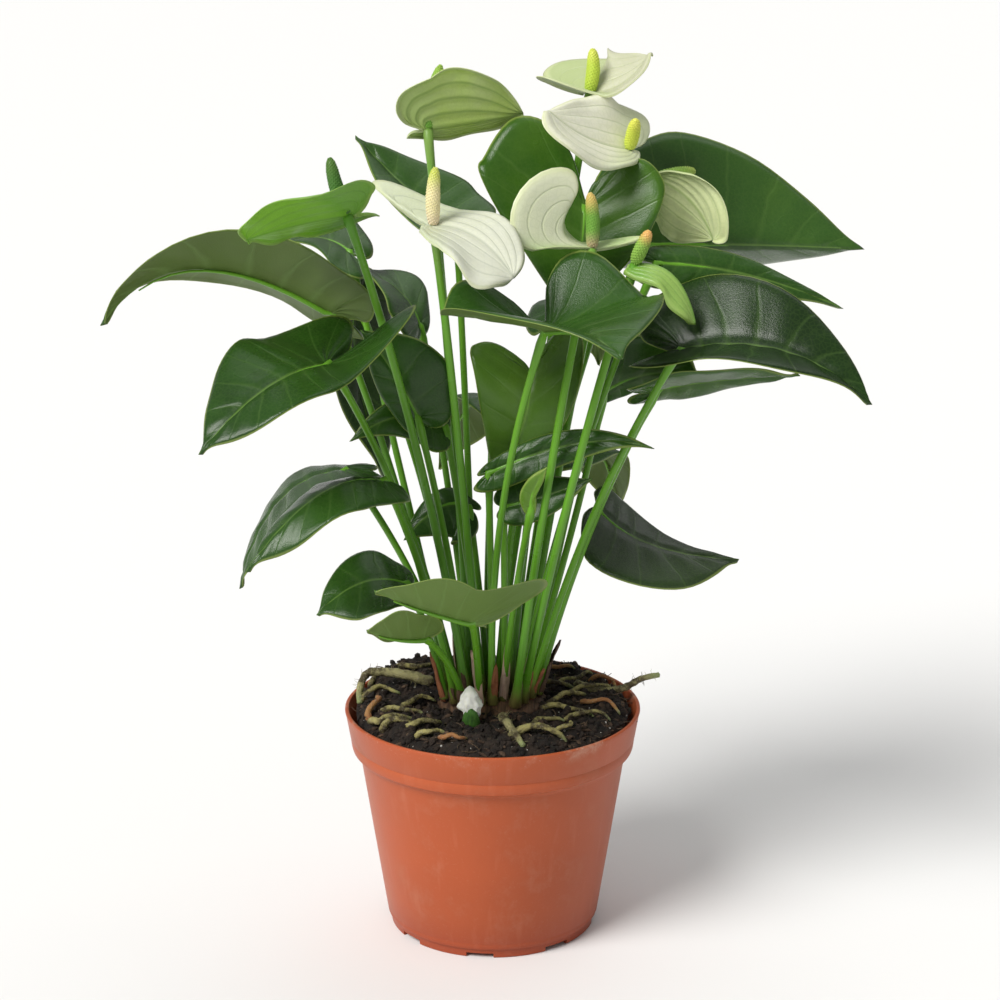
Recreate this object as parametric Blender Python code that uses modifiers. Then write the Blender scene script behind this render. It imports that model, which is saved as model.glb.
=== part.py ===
"""White anthurium in a 12 cm nursery pot, built as separate solids. Sizes are in mm unless said."""

import math

import bmesh
import bpy
from mathutils import Matrix, Vector

MM = 0.001
NAME = "potted_anthurium"

# Pot: the rim's diameter is the size growers sell it by, and the rest follows it.
RIM_D = 120.0
POT_H = 92.5
WALL = 1.4
BAND_H = 16.0
BODY_TOP_R = 54.3
BODY_FOOT_R = 43.3
FOOT_R = 42.2
FOOT_H = 3.0
FLOOR = 1.5
DRAIN_R = 4.0
POT_SIDES = 40
NOTCHES = 8
NOTCH_W = 11.0
NOTCH_TURN = math.radians(-97)

GAP = 0.4  # kept between pieces that touch
SOIL_Z = 94.5  # level of the soil round the crown
CROWN_AT = (0.0, -2.0)
CROWN_R = 22.5
CROWN_H = 4.0

BLADE_T = 0.8
SPATHE_T = 0.9
PETIOLE_R = 1.6
STALK_R = 1.8
SPADIX_R = 2.7
KNEE_IN = 0.07  # how far a stem bows inwards, as a share of its length

# Half of a heart-shaped blade, from the notch round the lobe to the tip:
# (share of the midrib's length, share of the half width).
LEAF_MARGIN = [
    (-0.03, 0.0), (-0.17, 0.14), (-0.25, 0.40), (-0.20, 0.72), (0.0, 0.96),
    (0.17, 1.0), (0.45, 0.80), (0.72, 0.43), (0.90, 0.13), (1.0, 0.0),
]
SPATHE_MARGIN = [
    (-0.02, 0.0), (-0.12, 0.16), (-0.17, 0.42), (-0.12, 0.72), (0.05, 0.95),
    (0.25, 1.0), (0.50, 0.92), (0.75, 0.66), (0.92, 0.30), (1.0, 0.0),
]
WIDEST = 0.17  # where on the midrib a blade's left and right points are taken
SINUS = 0.12  # share of the margin that the notch between the lobes takes
FAN_END = 0.36  # share of the margin whose veins all start at the petiole

# Each blade is five points: where the petiole joins, the point that the midrib bends towards,
# the tip, and the widest point of each half. lobe lengthens the two basal lobes and lift raises
# them, left first. foot is where the stem leaves the crown.
LEAVES = {
    "leaf_01": dict(foot=(-18, -2), base=(-62, 2, 254), crest=(-123, -5, 294), tip=(-150, -15, 252),
                    left=(-70, -22, 284), right=(-86, 28, 254), lobe=(0.6, 0.8)),
    "leaf_02": dict(foot=(-17, 8), base=(-58, 40, 272), crest=(-70, 50, 280), tip=(-87, 56, 271),
                    left=(-65, 26, 270), right=(-63, 66, 283), lobe=(1.5, 1.5), bow=(-4, 4)),
    "leaf_03": dict(foot=(-14, -7), base=(-61, -45, 244), crest=(-81, -75, 249),
                    tip=(-105, -85, 219), left=(-61, -80, 240), right=(-95, -40, 251),
                    lobe=(2.4, 1.6), lift=(26, 12), bow=(0, 9)),
    "leaf_04": dict(foot=(-12, 8), base=(-57, 56, 249), crest=(-59, 58, 214), tip=(-45, 48, 175),
                    left=(-39, 66, 219), right=(-67, 44, 226), bow=(2, 3)),
    "leaf_05": dict(foot=(-9, 13), base=(-29, 27, 244), crest=(-33, 37, 258), tip=(-54, 47, 263),
                    left=(-41, 12, 255), right=(-32, 52, 260), bow=(0, 6)),
    "leaf_06": dict(foot=(-9, -4), base=(-29, -12, 215), crest=(-39, -14, 238), tip=(-51, -8, 249),
                    left=(-44, -12, 225), right=(-17, -12, 237)),
    "leaf_07": dict(foot=(-4, 0), base=(-19, 1, 209), crest=(-36, -2, 220), tip=(-56, -6, 204),
                    left=(-26, -4, 201), right=(-31, 3, 220), lobe=(0.5, 0.5)),
    "leaf_08": dict(foot=(-15, -13), base=(-41, -44, 199), crest=(-63, -69, 212),
                    tip=(-90, -79, 173), left=(-51, -74, 195), right=(-66, -34, 194),
                    lobe=(1, 0.5)),
    "leaf_09": dict(foot=(-14, 3), base=(-60, 20, 186), crest=(-91, 10, 188), tip=(-102, 5, 140),
                    left=(-72, -10, 183), right=(-80, 35, 181)),
    "leaf_10": dict(foot=(-19, -8), base=(-34, -15, 149), crest=(-51, -25, 159),
                    tip=(-68, -35, 142), left=(-42, -45, 147), right=(-48, -4, 159),
                    lobe=(0.7, 0.7)),
    "leaf_11": dict(foot=(-5, -16), base=(-8, -55, 146), crest=(-25, -70, 155), tip=(-43, -82, 167),
                    left=(-11, -86, 172), right=(-20, -40, 144), lobe=(3.2, 1), lift=(16, 0)),
    "leaf_12": dict(foot=(-11, -17), base=(-26, -45, 136), crest=(-37, -58, 139),
                    tip=(-47, -65, 146), left=(-31, -68, 155), right=(-36, -38, 133),
                    lobe=(1.6, 1)),
    "leaf_13": dict(foot=(-2, 8), base=(-10, 15, 172), crest=(-21, 14, 178), tip=(-36, 13, 158),
                    left=(-15, 11, 157), right=(-21, 19, 178)),
    "leaf_14": dict(foot=(-7, 8), base=(-15, 39, 284), crest=(-29, 49, 288), tip=(-56, 64, 315),
                    left=(-30, 19, 285), right=(-12, 59, 298), bow=(0, 4)),
    "leaf_15": dict(foot=(8, 4), base=(36, 8, 295), crest=(35, 1, 275), tip=(29, -1, 251),
                    left=(66, 1, 299), right=(-5, 4, 308), lobe=(1, 2.2), bow=(3, 9)),
    "leaf_16": dict(foot=(0, -15), base=(20, -38, 255), crest=(34, -78, 266), tip=(46, -94, 256),
                    left=(63, -44, 270), right=(-17, -48, 265), lobe=(0.86, 0.9), lift=(25, 17),
                    bow=(-5, 0)),
    "leaf_17": dict(foot=(17, 8), base=(61, 38, 274), crest=(104, 43, 274), tip=(151, 48, 271),
                    left=(80, 63, 316), right=(82, 68, 258), bow=(0, 4)),
    "leaf_18": dict(foot=(10, -7), base=(64, -1, 274), crest=(99, 2, 273), tip=(137, 4, 255),
                    left=(81, 7, 279), right=(76, -1, 263), lobe=(0.5, 0.5)),
    "leaf_19": dict(foot=(15, -7), base=(72, -25, 245), crest=(112, -35, 257), tip=(142, -45, 228),
                    left=(85, -8, 271), right=(80, -62, 249), lobe=(0.8, 1)),
    "leaf_20": dict(foot=(18, -3), base=(65, -4, 224), crest=(89, -4, 229), tip=(120, -4, 230),
                    left=(77, -20, 235), right=(78, 5, 219)),
    "leaf_21": dict(foot=(14, 3), base=(45, 12, 220), crest=(61, 10, 231), tip=(82, 10, 227),
                    left=(58, 6, 244), right=(55, 16, 218), lobe=(0.6, 0.6), bow=(4, 0)),
    "leaf_22": dict(foot=(2, 3), base=(15, -6, 232), crest=(16, -18, 216), tip=(1, 4, 182),
                    left=(35, -17, 239), right=(-8, -10, 237), lobe=(0.4, 0.4)),
    "leaf_23": dict(foot=(0, -5), base=(-1, -19, 195), crest=(38, -23, 215), tip=(62, -29, 207),
                    left=(20, -19, 210), right=(15, -24, 194), lobe=(0.6, 0.6)),
    "leaf_24": dict(foot=(5, -6), base=(5, -14, 180), crest=(21, -16, 184), tip=(39, -17, 192),
                    left=(12, -12, 191), right=(16, -20, 175), lobe=(0.6, 0.6)),
    "leaf_25": dict(foot=(4, -11), base=(15, -31, 184), crest=(14, -32, 191), tip=(21, -34, 201),
                    left=(11, -32, 191), right=(18, -33, 192)),
    "leaf_26": dict(foot=(19, 3), base=(44, 28, 167), crest=(59, 13, 152), tip=(100, 13, 150),
                    left=(56, 40, 166), right=(52, -4, 146), lobe=(0.5, 0.5)),
    "leaf_27": dict(foot=(2, 13), base=(28, 48, 246), crest=(42, 78, 262), tip=(46, 97, 212),
                    left=(20, 76, 244), right=(54, 72, 244)),
    "leaf_28": dict(foot=(-3, 13), base=(0, 44, 208), crest=(-9, 74, 215), tip=(-24, 96, 166),
                    left=(-17, 58, 208), right=(8, 74, 199)),
    "leaf_29": dict(foot=(7, 12), base=(30, 40, 190), crest=(48, 72, 198), tip=(55, 96, 146),
                    left=(29, 74, 184), right=(57, 62, 180)),
}

# A flower adds the spadix's tip to the same five points of its spathe.
FLOWERS = {
    "flower_1": dict(foot=(-10, -11), base=(-54, -30, 297), crest=(-70, -45, 297),
                     tip=(-89, -55, 292), left=(-70, -62, 309), right=(-72, -22, 288),
                     spadix=(-60, -29, 318), lobe=(3, 3), lift=(13, 2), bow=(0, 4), shade="green"),
    "flower_2": dict(foot=(-9, 3), base=(-25, 10, 324), crest=(-9, 15, 325), tip=(12, 20, 329),
                     left=(-16, 18, 320), right=(-18, 2, 348), spadix=(-20, 24, 347), lobe=(1.5, 2),
                     bow=(0, 2), shade="pale"),
    "flower_3": dict(foot=(-5, -9), base=(-22, -22, 292), crest=(-4, -35, 294), tip=(8, -50, 277),
                     left=(-3, -15, 297), right=(-15, -55, 286), spadix=(-21, -26, 314),
                     lobe=(4.4, 1), lift=(26, 2), shade="white"),
    "flower_4": dict(foot=(7, -1), base=(38, 27, 336), crest=(51, 22, 335), tip=(61, 24, 351),
                     left=(46, 40, 352), right=(50, 12, 339), spadix=(39, 28, 353), lobe=(4.6, 5),
                     lift=(0, 9), shade="white"),
    "flower_5": dict(foot=(12, -2), base=(53, 13, 316), crest=(36, -2, 319), tip=(21, -8, 333),
                     left=(38, -16, 314), right=(46, 21, 336), spadix=(55, 6, 328), lobe=(1.5, 2),
                     bow=(1, 8), shade="white"),
    "flower_6": dict(foot=(11, 8), base=(64, 25, 303), crest=(80, 21, 299), tip=(87, 17, 280),
                     left=(68, 31, 281), right=(86, 11, 302), spadix=(81, 46, 303), bow=(-4, 9),
                     shade="pale"),
    "flower_7": dict(foot=(9, -17), base=(38, -15, 282), crest=(21, -20, 285), tip=(30, -16, 299),
                     left=(9, -28, 288), right=(30, -4, 285), spadix=(37, -15, 303), lobe=(0.6, 5),
                     lift=(3, 14), bow=(0, -13), shade="pale"),
    "flower_8": dict(foot=(12, -12), base=(54, -19, 277), crest=(72, -24, 280), tip=(77, -27, 255),
                     left=(67, -20, 273), right=(62, -28, 270), spadix=(59, -24, 290), bow=(0, -15),
                     shade="green"),
}

# Roots that run over the soil: (x, y, height of the root's middle above the soil).
ROOTS = {
    "aerial_root_1": dict(r=2.2, path=[(-25, 8, 3), (-35, 8, 6), (-44, 9, 10),
                                       (-51, 7, 12), (-54, 3, 8), (-54, 0, 3)]),
    "aerial_root_2": dict(r=1.9, path=[(34, 12, 3), (44, 11, 3), (53, 8, 7),
                                       (61, 8, 11), (68, 8, 13)]),
    "aerial_root_3": dict(r=2.0, path=[(4, -28, 3), (6, -35, 4), (9, -42, 3.4),
                                       (12, -49, 3)]),
}


def clear_scene():
    for obj in list(bpy.data.objects):
        bpy.data.objects.remove(obj, do_unlink=True)


def new_collection(name):
    coll = bpy.data.collections.new(name)
    bpy.context.scene.collection.children.link(coll)
    return coll


def new_material(name, color, roughness):
    mat = bpy.data.materials.new(name)
    mat.use_nodes = True
    shader = mat.node_tree.nodes["Principled BSDF"]
    shader.inputs["Base Color"].default_value = (*color, 1.0)
    shader.inputs["Roughness"].default_value = roughness
    shader.inputs["Metallic"].default_value = 0.0
    return mat


def object_from(bm, name, coll, mat, smooth=True):
    """Turns a bmesh measured in mm into an object measured in metres."""
    bmesh.ops.scale(bm, vec=(MM, MM, MM), verts=bm.verts)
    mesh = bpy.data.meshes.new(name)
    bm.to_mesh(mesh)
    bm.free()
    if smooth:
        mesh.shade_smooth()
    if mat:
        mesh.materials.append(mat)
    obj = bpy.data.objects.new(name, mesh)
    coll.objects.link(obj)
    return obj


def make_helper(obj):
    obj.hide_render = True
    obj.display_type = "WIRE"


def bezier(a, b, c, u):
    return a * (1 - u) ** 2 + b * (2 * u * (1 - u)) + c * u ** 2


def bezier_direction(a, b, c, u):
    return ((b - a) * (1 - u) + (c - b) * u).normalized()


def through(points, s):
    """A smooth line through the points, read at s from 0 to 1 (Catmull-Rom)."""
    spans = len(points) - 1
    i = min(int(s * spans), spans - 1)
    f = s * spans - i
    b, c = points[i], points[i + 1]
    a = points[i - 1] if i > 0 else b * 2 - c
    d = points[i + 2] if i < spans - 1 else c * 2 - b
    return (b * 2 + (c - a) * f + (a * 2 - b * 5 + c * 4 - d) * f ** 2
            + (b * 3 - a - c * 3 + d) * f ** 3) * 0.5


class Blade:
    """The curved surface of one leaf or spathe, from its five points."""

    SAMPLES = 40

    def __init__(self, spec, margin):
        self.base, self.crest, self.tip = (Vector(spec[k]) for k in ("base", "crest", "tip"))
        self.margin = [Vector((x, y, 0.0)) for x, y in margin]
        self.lobe = spec.get("lobe", (1.0, 1.0))
        self.lift = spec.get("lift", (0.0, 0.0))
        line = [bezier(self.base, self.crest, self.tip, i / self.SAMPLES)
                for i in range(self.SAMPLES + 1)]
        self.run = [0.0]
        for a, b in zip(line, line[1:]):
            self.run.append(self.run[-1] + (b - a).length)
        self.length = self.run[-1]
        left, right = Vector(spec["left"]), Vector(spec["right"])
        chord = (self.tip - self.base).normalized()
        across = right - left
        self.across = (across - chord * across.dot(chord)).normalized()
        middle, along, side, up = self.frame(WIDEST)
        self.half = []
        for edge in (left, right):
            arm = edge - middle
            self.half.append((arm.dot(along), arm.dot(side), arm.dot(up)))

    def frame(self, share):
        """Middle point, direction, sideways and upward axes at a share of the midrib."""
        want = min(max(share, 0.0), 1.0) * self.length
        i = 0
        while i < self.SAMPLES - 1 and self.run[i + 1] < want:
            i += 1
        span = self.run[i + 1] - self.run[i]
        u = (i + (want - self.run[i]) / span) / self.SAMPLES
        middle = bezier(self.base, self.crest, self.tip, u)
        along = bezier_direction(self.base, self.crest, self.tip, u)
        side = (self.across - along * self.across.dot(along)).normalized()
        return middle, along, side, side.cross(along)

    def point(self, around, out):
        """around runs 0 to 1 from the notch to the tip; out runs -1 to 1, left to right."""
        k = 0 if out < 0 else 1
        t = abs(out)
        edge = through(self.margin, around)
        own = min(around / SINUS, 1.0)  # the two halves share the line at the notch
        lobe = sum(self.lobe) / 2 * (1 - own) + self.lobe[k] * own
        start = max(around - FAN_END, 0.0) / (1 - FAN_END)
        start = start ** 1.15
        x = start + (edge.x - start) * t ** 1.3
        y = edge.y * t ** 0.95
        middle, along, side, up = self.frame(x)
        behind = min(x, 0.0)
        forward, sideways, rise = self.half[k]
        lift = own * self.lift[k] * min(-behind / 0.25, 1.0) ** 1.3
        return (middle + along * (behind * self.length * lobe + forward * y)
                + side * (sideways * y) + up * (rise * y + lift))


def blade_mesh(blade, around, out):
    bm = bmesh.new()
    bmesh.ops.create_grid(bm, x_segments=around, y_segments=2 * out, size=1.0)
    for v in bm.verts:
        v.co = blade.point((v.co.x + 1) / 2, v.co.y)
    bmesh.ops.remove_doubles(bm, verts=bm.verts, dist=0.05)
    return bm


def solidify(obj, thickness):
    mod = obj.modifiers.new("thickness", "SOLIDIFY")
    mod.thickness = thickness * MM
    mod.offset = 0.0


def tube(name, coll, mat, points, radii, sides=1):
    """A round rod through the points, in mm, as a mesh with closed ends."""
    curve = bpy.data.curves.new(name, "CURVE")
    curve.dimensions = "3D"
    curve.bevel_depth = MM
    curve.bevel_resolution = sides
    curve.use_fill_caps = True
    spline = curve.splines.new("POLY")
    spline.points.add(len(points) - 1)
    for place, p, r in zip(spline.points, points, radii):
        place.co = (*(p * MM), 1.0)
        place.radius = r
    obj = bpy.data.objects.new(name + "_curve", curve)
    coll.objects.link(obj)
    bpy.context.view_layer.update()
    depsgraph = bpy.context.evaluated_depsgraph_get()
    mesh = bpy.data.meshes.new_from_object(obj.evaluated_get(depsgraph))
    bm = bmesh.new()
    bm.from_mesh(mesh)
    bmesh.ops.remove_doubles(bm, verts=bm.verts, dist=1e-6)
    bm.to_mesh(mesh)
    bm.free()
    mesh.shade_smooth()
    mesh.name = name
    mesh.materials.clear()
    if mat:
        mesh.materials.append(mat)
    rod = bpy.data.objects.new(name, mesh)
    rod.matrix_world = obj.matrix_world
    bpy.data.objects.remove(obj, do_unlink=True)
    bpy.data.curves.remove(curve)
    coll.objects.link(rod)
    return rod


def stem_line(spec, end, radius, steps):
    """The stem's middle line, from the crown's top to end, bowed a little inwards."""
    foot = Vector((*spec["foot"], SOIL_Z + CROWN_H + 2 * GAP))
    lean = (end - foot).normalized()
    foot.z += radius * lean.xy.length
    rise = end - foot
    inwards = Vector((-rise.x, -rise.y, rise.xy.length)) * KNEE_IN
    bow = Vector((*spec.get("bow", (0, 0)), 0.0))
    knee = (foot + end) / 2 + (inwards + bow) * 2
    return [bezier(foot, knee, end, i / steps) for i in range(steps + 1)]


def soil_height(x, y):
    """The soil's surface: level round the crown, falling to the rim, heaped at the back."""
    heap = 4.0 * math.exp(-((x + 30) / 20) ** 2 - ((y - 20) / 20) ** 2)
    lumps = 0.6 * math.sin(x * 0.21 + 1.0) * math.sin(y * 0.19)
    fall = 5.5 * min(max((math.hypot(x, y) - 26.0) / 30.0, 0.0), 1.0) ** 1.5
    bare = min(max((math.dist((x, y), CROWN_AT) - CROWN_R - 1.0) / 7.0, 0.0), 1.0)
    return SOIL_Z + bare * (heap + lumps) - fall


def wall_inside(z):
    """Inner radius of the pot at a height."""
    if z > POT_H - BAND_H:
        share = (z - (POT_H - BAND_H)) / BAND_H
        return RIM_D / 2 - 3.0 - WALL + 3.0 * share
    share = (z - FOOT_H) / (POT_H - BAND_H - FOOT_H)
    return BODY_FOOT_R + (BODY_TOP_R - BODY_FOOT_R) * share - WALL


def turned(name, coll, mat, profile, sides):
    """Turns a closed profile, listed down its outer side first, round the pot's axis."""
    bm = bmesh.new()
    verts = [bm.verts.new((r, 0.0, z)) for r, z in profile]
    for a, b in zip(verts, verts[1:] + verts[:1]):
        bm.edges.new((a, b))
    obj = object_from(bm, name, coll, mat, smooth=False)
    mod = obj.modifiers.new("turn", "SCREW")
    mod.steps = sides
    mod.render_steps = sides
    mod.use_merge_vertices = True
    mod.merge_threshold = 0.00001
    mod.use_smooth_shade = False
    return obj


def cut(obj, cutter):
    mod = obj.modifiers.new("cut_" + cutter.name, "BOOLEAN")
    mod.operation = "DIFFERENCE"
    mod.solver = "EXACT"
    mod.object = cutter


def build_pot(coll, helpers, mat):
    rim_r = RIM_D / 2
    band_z = POT_H - BAND_H
    profile = [
        (rim_r - 0.7, POT_H), (rim_r, POT_H - 0.8), (rim_r - 2.8, band_z),
        (BODY_TOP_R + 0.1, band_z - 1.8), (BODY_FOOT_R, FOOT_H + 1.4),
        (FOOT_R, FOOT_H + 0.6), (FOOT_R - 0.2, 0.0), (FOOT_R - 2.2, 0.0),
        (FOOT_R - 2.4, FOOT_H), (DRAIN_R, FOOT_H), (DRAIN_R, FOOT_H + FLOOR),
        (BODY_FOOT_R - WALL - 0.4, FOOT_H + FLOOR),
        (BODY_TOP_R - WALL, band_z - 2.6), (rim_r - 2.8 - WALL, band_z - 0.6),
        (rim_r - WALL - 0.2, POT_H),
    ]
    pot = turned("pot", coll, mat, profile, POT_SIDES)
    bm = bmesh.new()
    for i in range(NOTCHES):
        turn = Matrix.Rotation(NOTCH_TURN + i * math.tau / NOTCHES, 4, "Z")
        place = turn @ Matrix.Translation((FOOT_R, 0.0, 0.0))
        bmesh.ops.create_cube(bm, size=1.0, matrix=place @ Matrix.Diagonal((12, NOTCH_W, 4, 1)))
    notches = object_from(bm, "foot_notches", helpers, None, smooth=False)
    make_helper(notches)
    cut(pot, notches)


def build_soil(coll, mat):
    rings = [0.0, 12.0, 22.0, 31.0, 40.0, 48.0, 55.2]
    bm = bmesh.new()
    profile = [bm.verts.new((r, 0.0, SOIL_Z)) for r in rings]
    for z in (POT_H - 8.0, POT_H - BAND_H - 4.0, FOOT_H + FLOOR + GAP):
        profile.append(bm.verts.new((wall_inside(z) - 1.2, 0.0, z)))
    profile.append(bm.verts.new((0.0, 0.0, FOOT_H + FLOOR + GAP)))
    edges = [bm.edges.new(pair) for pair in zip(profile, profile[1:])]
    bmesh.ops.spin(bm, geom=profile + edges, axis=(0, 0, 1), cent=(0, 0, 0),
                   angle=math.tau, steps=POT_SIDES, use_merge=True)
    bmesh.ops.remove_doubles(bm, verts=bm.verts, dist=0.01)
    for v in bm.verts:
        if v.co.z > POT_H:
            v.co.z = soil_height(v.co.x, v.co.y)
    bmesh.ops.recalc_face_normals(bm, faces=bm.faces)
    object_from(bm, "soil", coll, mat)


def build_crown(coll, mat):
    bm = bmesh.new()
    place = Matrix.Translation((*CROWN_AT, SOIL_Z + GAP + CROWN_H / 2))
    bmesh.ops.create_cone(bm, cap_ends=True, segments=24, radius1=CROWN_R,
                          radius2=CROWN_R - 1.5, depth=CROWN_H, matrix=place)
    object_from(bm, "crown", coll, mat, smooth=False)


def build_leaf(name, spec, coll, helpers, mat):
    blade = Blade(spec, LEAF_MARGIN)
    leaf = object_from(blade_mesh(blade, 8, 3), name, coll, mat)
    solidify(leaf, BLADE_T)
    along = blade.frame(0.0)[1]
    line = stem_line(spec, blade.base - along * 0.5, PETIOLE_R, 7)
    line.append(blade.frame(0.07)[0])
    taper = [PETIOLE_R * (1.12 - 0.2 * i / 7) for i in range(7)]
    petiole = tube(name + "_petiole", helpers, mat, line, taper + [PETIOLE_R, 0.9])
    make_helper(petiole)
    join = leaf.modifiers.new("petiole", "BOOLEAN")
    join.operation = "UNION"
    join.solver = "EXACT"
    join.object = petiole


def build_flower(name, spec, coll, mats):
    blade = Blade(spec, SPATHE_MARGIN)
    spathe = object_from(blade_mesh(blade, 8, 3), name + "_spathe", coll, mats[spec["shade"]])
    solidify(spathe, SPATHE_T)
    middle, along, side, up = blade.frame(0.0)
    line = stem_line(spec, middle - up * 2.0, STALK_R, 8)
    reach = (line[-1] - line[-2]).normalized()
    line[-1] = line[-1] - reach * 2.0
    taper = [STALK_R * (1.1 - 0.15 * i / 8) for i in range(9)]
    tube(name + "_stalk", coll, mats["stalk"], line, taper)
    rod = Vector(spec["spadix"]) - middle
    start = middle + rod.normalized() * 3.2
    shape = [(0.0, 0.75), (0.15, 0.95), (0.5, 1.0), (0.8, 0.85), (0.95, 0.6), (1.0, 0.3)]
    points = [start + (middle + rod - start) * s for s, _ in shape]
    tube(name + "_spadix", coll, mats["spadix"], points, [SPADIX_R * r for _, r in shape], 2)


def build_root(name, spec, coll, mat):
    points = [Vector((x, y, soil_height(x, y) + h)) for x, y, h in spec["path"]]
    steps = 3 * (len(points) - 1)
    line = [through(points, i / steps) for i in range(steps + 1)]
    radii = [spec["r"] * (1.0 - 0.45 * i / steps) for i in range(steps + 1)]
    tube(name, coll, mat, line, radii)


def build_bud(coll, mat):
    """A small white spathe, still rolled, low at the front of the crown."""
    foot, top = Vector((-8.0, -27.5, SOIL_Z + 2.0)), Vector((-9.0, -28.5, SOIL_Z + 16.0))
    shape = [(0.0, 0.3), (0.15, 0.8), (0.4, 1.0), (0.7, 0.8), (1.0, 0.25)]
    points = [foot.lerp(top, s) for s, _ in shape]
    tube("young_spathe", coll, mat, points, [4.5 * r for _, r in shape], 2)


def main():
    clear_scene()
    parts = new_collection(NAME)
    helpers = new_collection("helpers")
    plastic = new_material("pot_plastic", (0.52, 0.13, 0.06), 0.42)
    soil = new_material("soil", (0.03, 0.018, 0.012), 0.95)
    leaf = new_material("leaf", (0.03, 0.13, 0.015), 0.35)
    root = new_material("root", (0.16, 0.17, 0.08), 0.8)
    flower = {
        "stalk": new_material("stalk", (0.12, 0.36, 0.03), 0.4),
        "spadix": new_material("spadix", (0.45, 0.55, 0.08), 0.6),
        "white": new_material("spathe_white", (0.78, 0.79, 0.66), 0.4),
        "pale": new_material("spathe_pale", (0.5, 0.6, 0.3), 0.4),
        "green": new_material("spathe_green", (0.2, 0.5, 0.05), 0.4),
    }
    build_pot(parts, helpers, plastic)
    build_soil(parts, soil)
    build_crown(parts, root)
    for name, spec in LEAVES.items():
        build_leaf(name, spec, parts, helpers, leaf)
    for name, spec in FLOWERS.items():
        build_flower(name, spec, parts, flower)
    for name, spec in ROOTS.items():
        build_root(name, spec, parts, root)
    build_bud(parts, flower["white"])


main()
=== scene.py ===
import math

import bmesh
import bpy
import numpy as np
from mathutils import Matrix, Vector, noise


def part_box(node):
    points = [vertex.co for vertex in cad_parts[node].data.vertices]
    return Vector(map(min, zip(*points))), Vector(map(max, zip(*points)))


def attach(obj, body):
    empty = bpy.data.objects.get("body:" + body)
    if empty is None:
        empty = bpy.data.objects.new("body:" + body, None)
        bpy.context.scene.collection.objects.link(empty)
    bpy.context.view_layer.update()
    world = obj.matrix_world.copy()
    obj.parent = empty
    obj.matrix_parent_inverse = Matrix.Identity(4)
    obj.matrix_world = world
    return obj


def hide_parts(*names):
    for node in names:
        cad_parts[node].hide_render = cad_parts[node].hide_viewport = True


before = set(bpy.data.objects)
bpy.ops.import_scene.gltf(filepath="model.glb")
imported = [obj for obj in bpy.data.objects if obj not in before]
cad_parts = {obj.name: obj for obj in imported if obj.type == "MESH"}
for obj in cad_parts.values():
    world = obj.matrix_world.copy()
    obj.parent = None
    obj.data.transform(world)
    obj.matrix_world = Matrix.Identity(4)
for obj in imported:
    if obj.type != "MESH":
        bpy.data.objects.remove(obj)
scene = bpy.context.scene
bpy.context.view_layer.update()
print("frame loaded:", len(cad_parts), "nodes")

mm = 0.001
rng = np.random.default_rng(7)


def addObject(name, data):
    thing = bpy.data.objects.new(name, data)
    scene.collection.objects.link(thing)
    return thing


# Camera, light and floor.

view = {"place": (0.003, -0.9187, 0.4333), "target": (0.003, 0.0, 0.1786), "lens": 86.4}


def aim(thing, target):
    direction = Vector(target) - thing.location
    thing.rotation_euler = direction.to_track_quat("-Z", "Y").to_euler()


def addCamera():
    data = bpy.data.cameras.new("camera")
    data.lens = view["lens"]
    data.sensor_width = 36.0
    data.clip_start = 0.01
    camera = addObject("camera", data)
    camera.location = view["place"]
    aim(camera, view["target"])
    scene.camera = camera


lamps = {  # sun lamps: direction they shine from, softness in degrees, strength
    "key": {"place": (-0.80, -0.75, 1.05), "soft": 30.0, "power": 3.4,
            "color": (1.0, 0.985, 0.96)},
    "top": {"place": (0.15, 0.45, 1.0), "soft": 50.0, "power": 0.6, "color": (1.0, 1.0, 1.0)},
}
sky = {"Color": (1.0, 1.0, 1.0, 1.0), "Strength": 0.34}
floorSize = {"half": 14.0, "color": (0.82, 0.82, 0.815), "rough": 0.85}


def addLamps():
    for name, spec in lamps.items():
        data = bpy.data.lights.new(name, "SUN")
        data.angle = math.radians(spec["soft"])
        data.energy = spec["power"]
        data.color = spec["color"]
        lamp = addObject(name, data)
        lamp.location = spec["place"]
        aim(lamp, (0.0, 0.0, 0.0))
    world = bpy.data.worlds.new("studio")
    world.use_nodes = True
    setInputs(world.node_tree, world.node_tree.nodes["Background"], sky)
    scene.world = world
    scene.view_settings.view_transform = "Standard"


def addFloor():
    mesh = bpy.data.meshes.new("floor")
    s = floorSize["half"]
    mesh.from_pydata([(-s, -s, 0), (s, -s, 0), (s, s, 0), (-s, s, 0)], [], [(0, 1, 2, 3)])
    mesh.materials.append(newMaterial("floorPaint", floorSize["color"], floorSize["rough"])[0])
    addObject("floor", mesh)


# Node helpers.


def setInputs(tree, node, values):
    # Links each value that is a socket, and sets the others as constants.
    for key, value in values.items():
        if isinstance(value, bpy.types.NodeSocket):
            tree.links.new(value, node.inputs[key])
        else:
            node.inputs[key].default_value = value
    return node


def addNode(tree, kind, values=None, **options):
    node = tree.nodes.new(kind)
    for key, value in options.items():
        setattr(node, key, value)
    return setInputs(tree, node, values or {})


def calc(tree, operation, a, b=0.0, c=0.0, clamp=False):
    node = addNode(tree, "ShaderNodeMath", {0: a, 1: b, 2: c}, operation=operation)
    node.use_clamp = clamp
    return node.outputs[0]


def ramp(tree, value, low, high, outLow=0.0, outHigh=1.0):
    node = addNode(tree, "ShaderNodeMapRange", {"Value": value, "From Min": low, "From Max": high,
                                                "To Min": outLow, "To Max": outHigh})
    node.interpolation_type = "SMOOTHSTEP"
    return node.outputs["Result"]


def blendColor(tree, share, a, b):
    a, b = (c if isinstance(c, bpy.types.NodeSocket) else (*c, 1.0) for c in (a, b))
    return addNode(tree, "ShaderNodeMix", {0: share, 6: a, 7: b}, data_type="RGBA").outputs[2]


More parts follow.
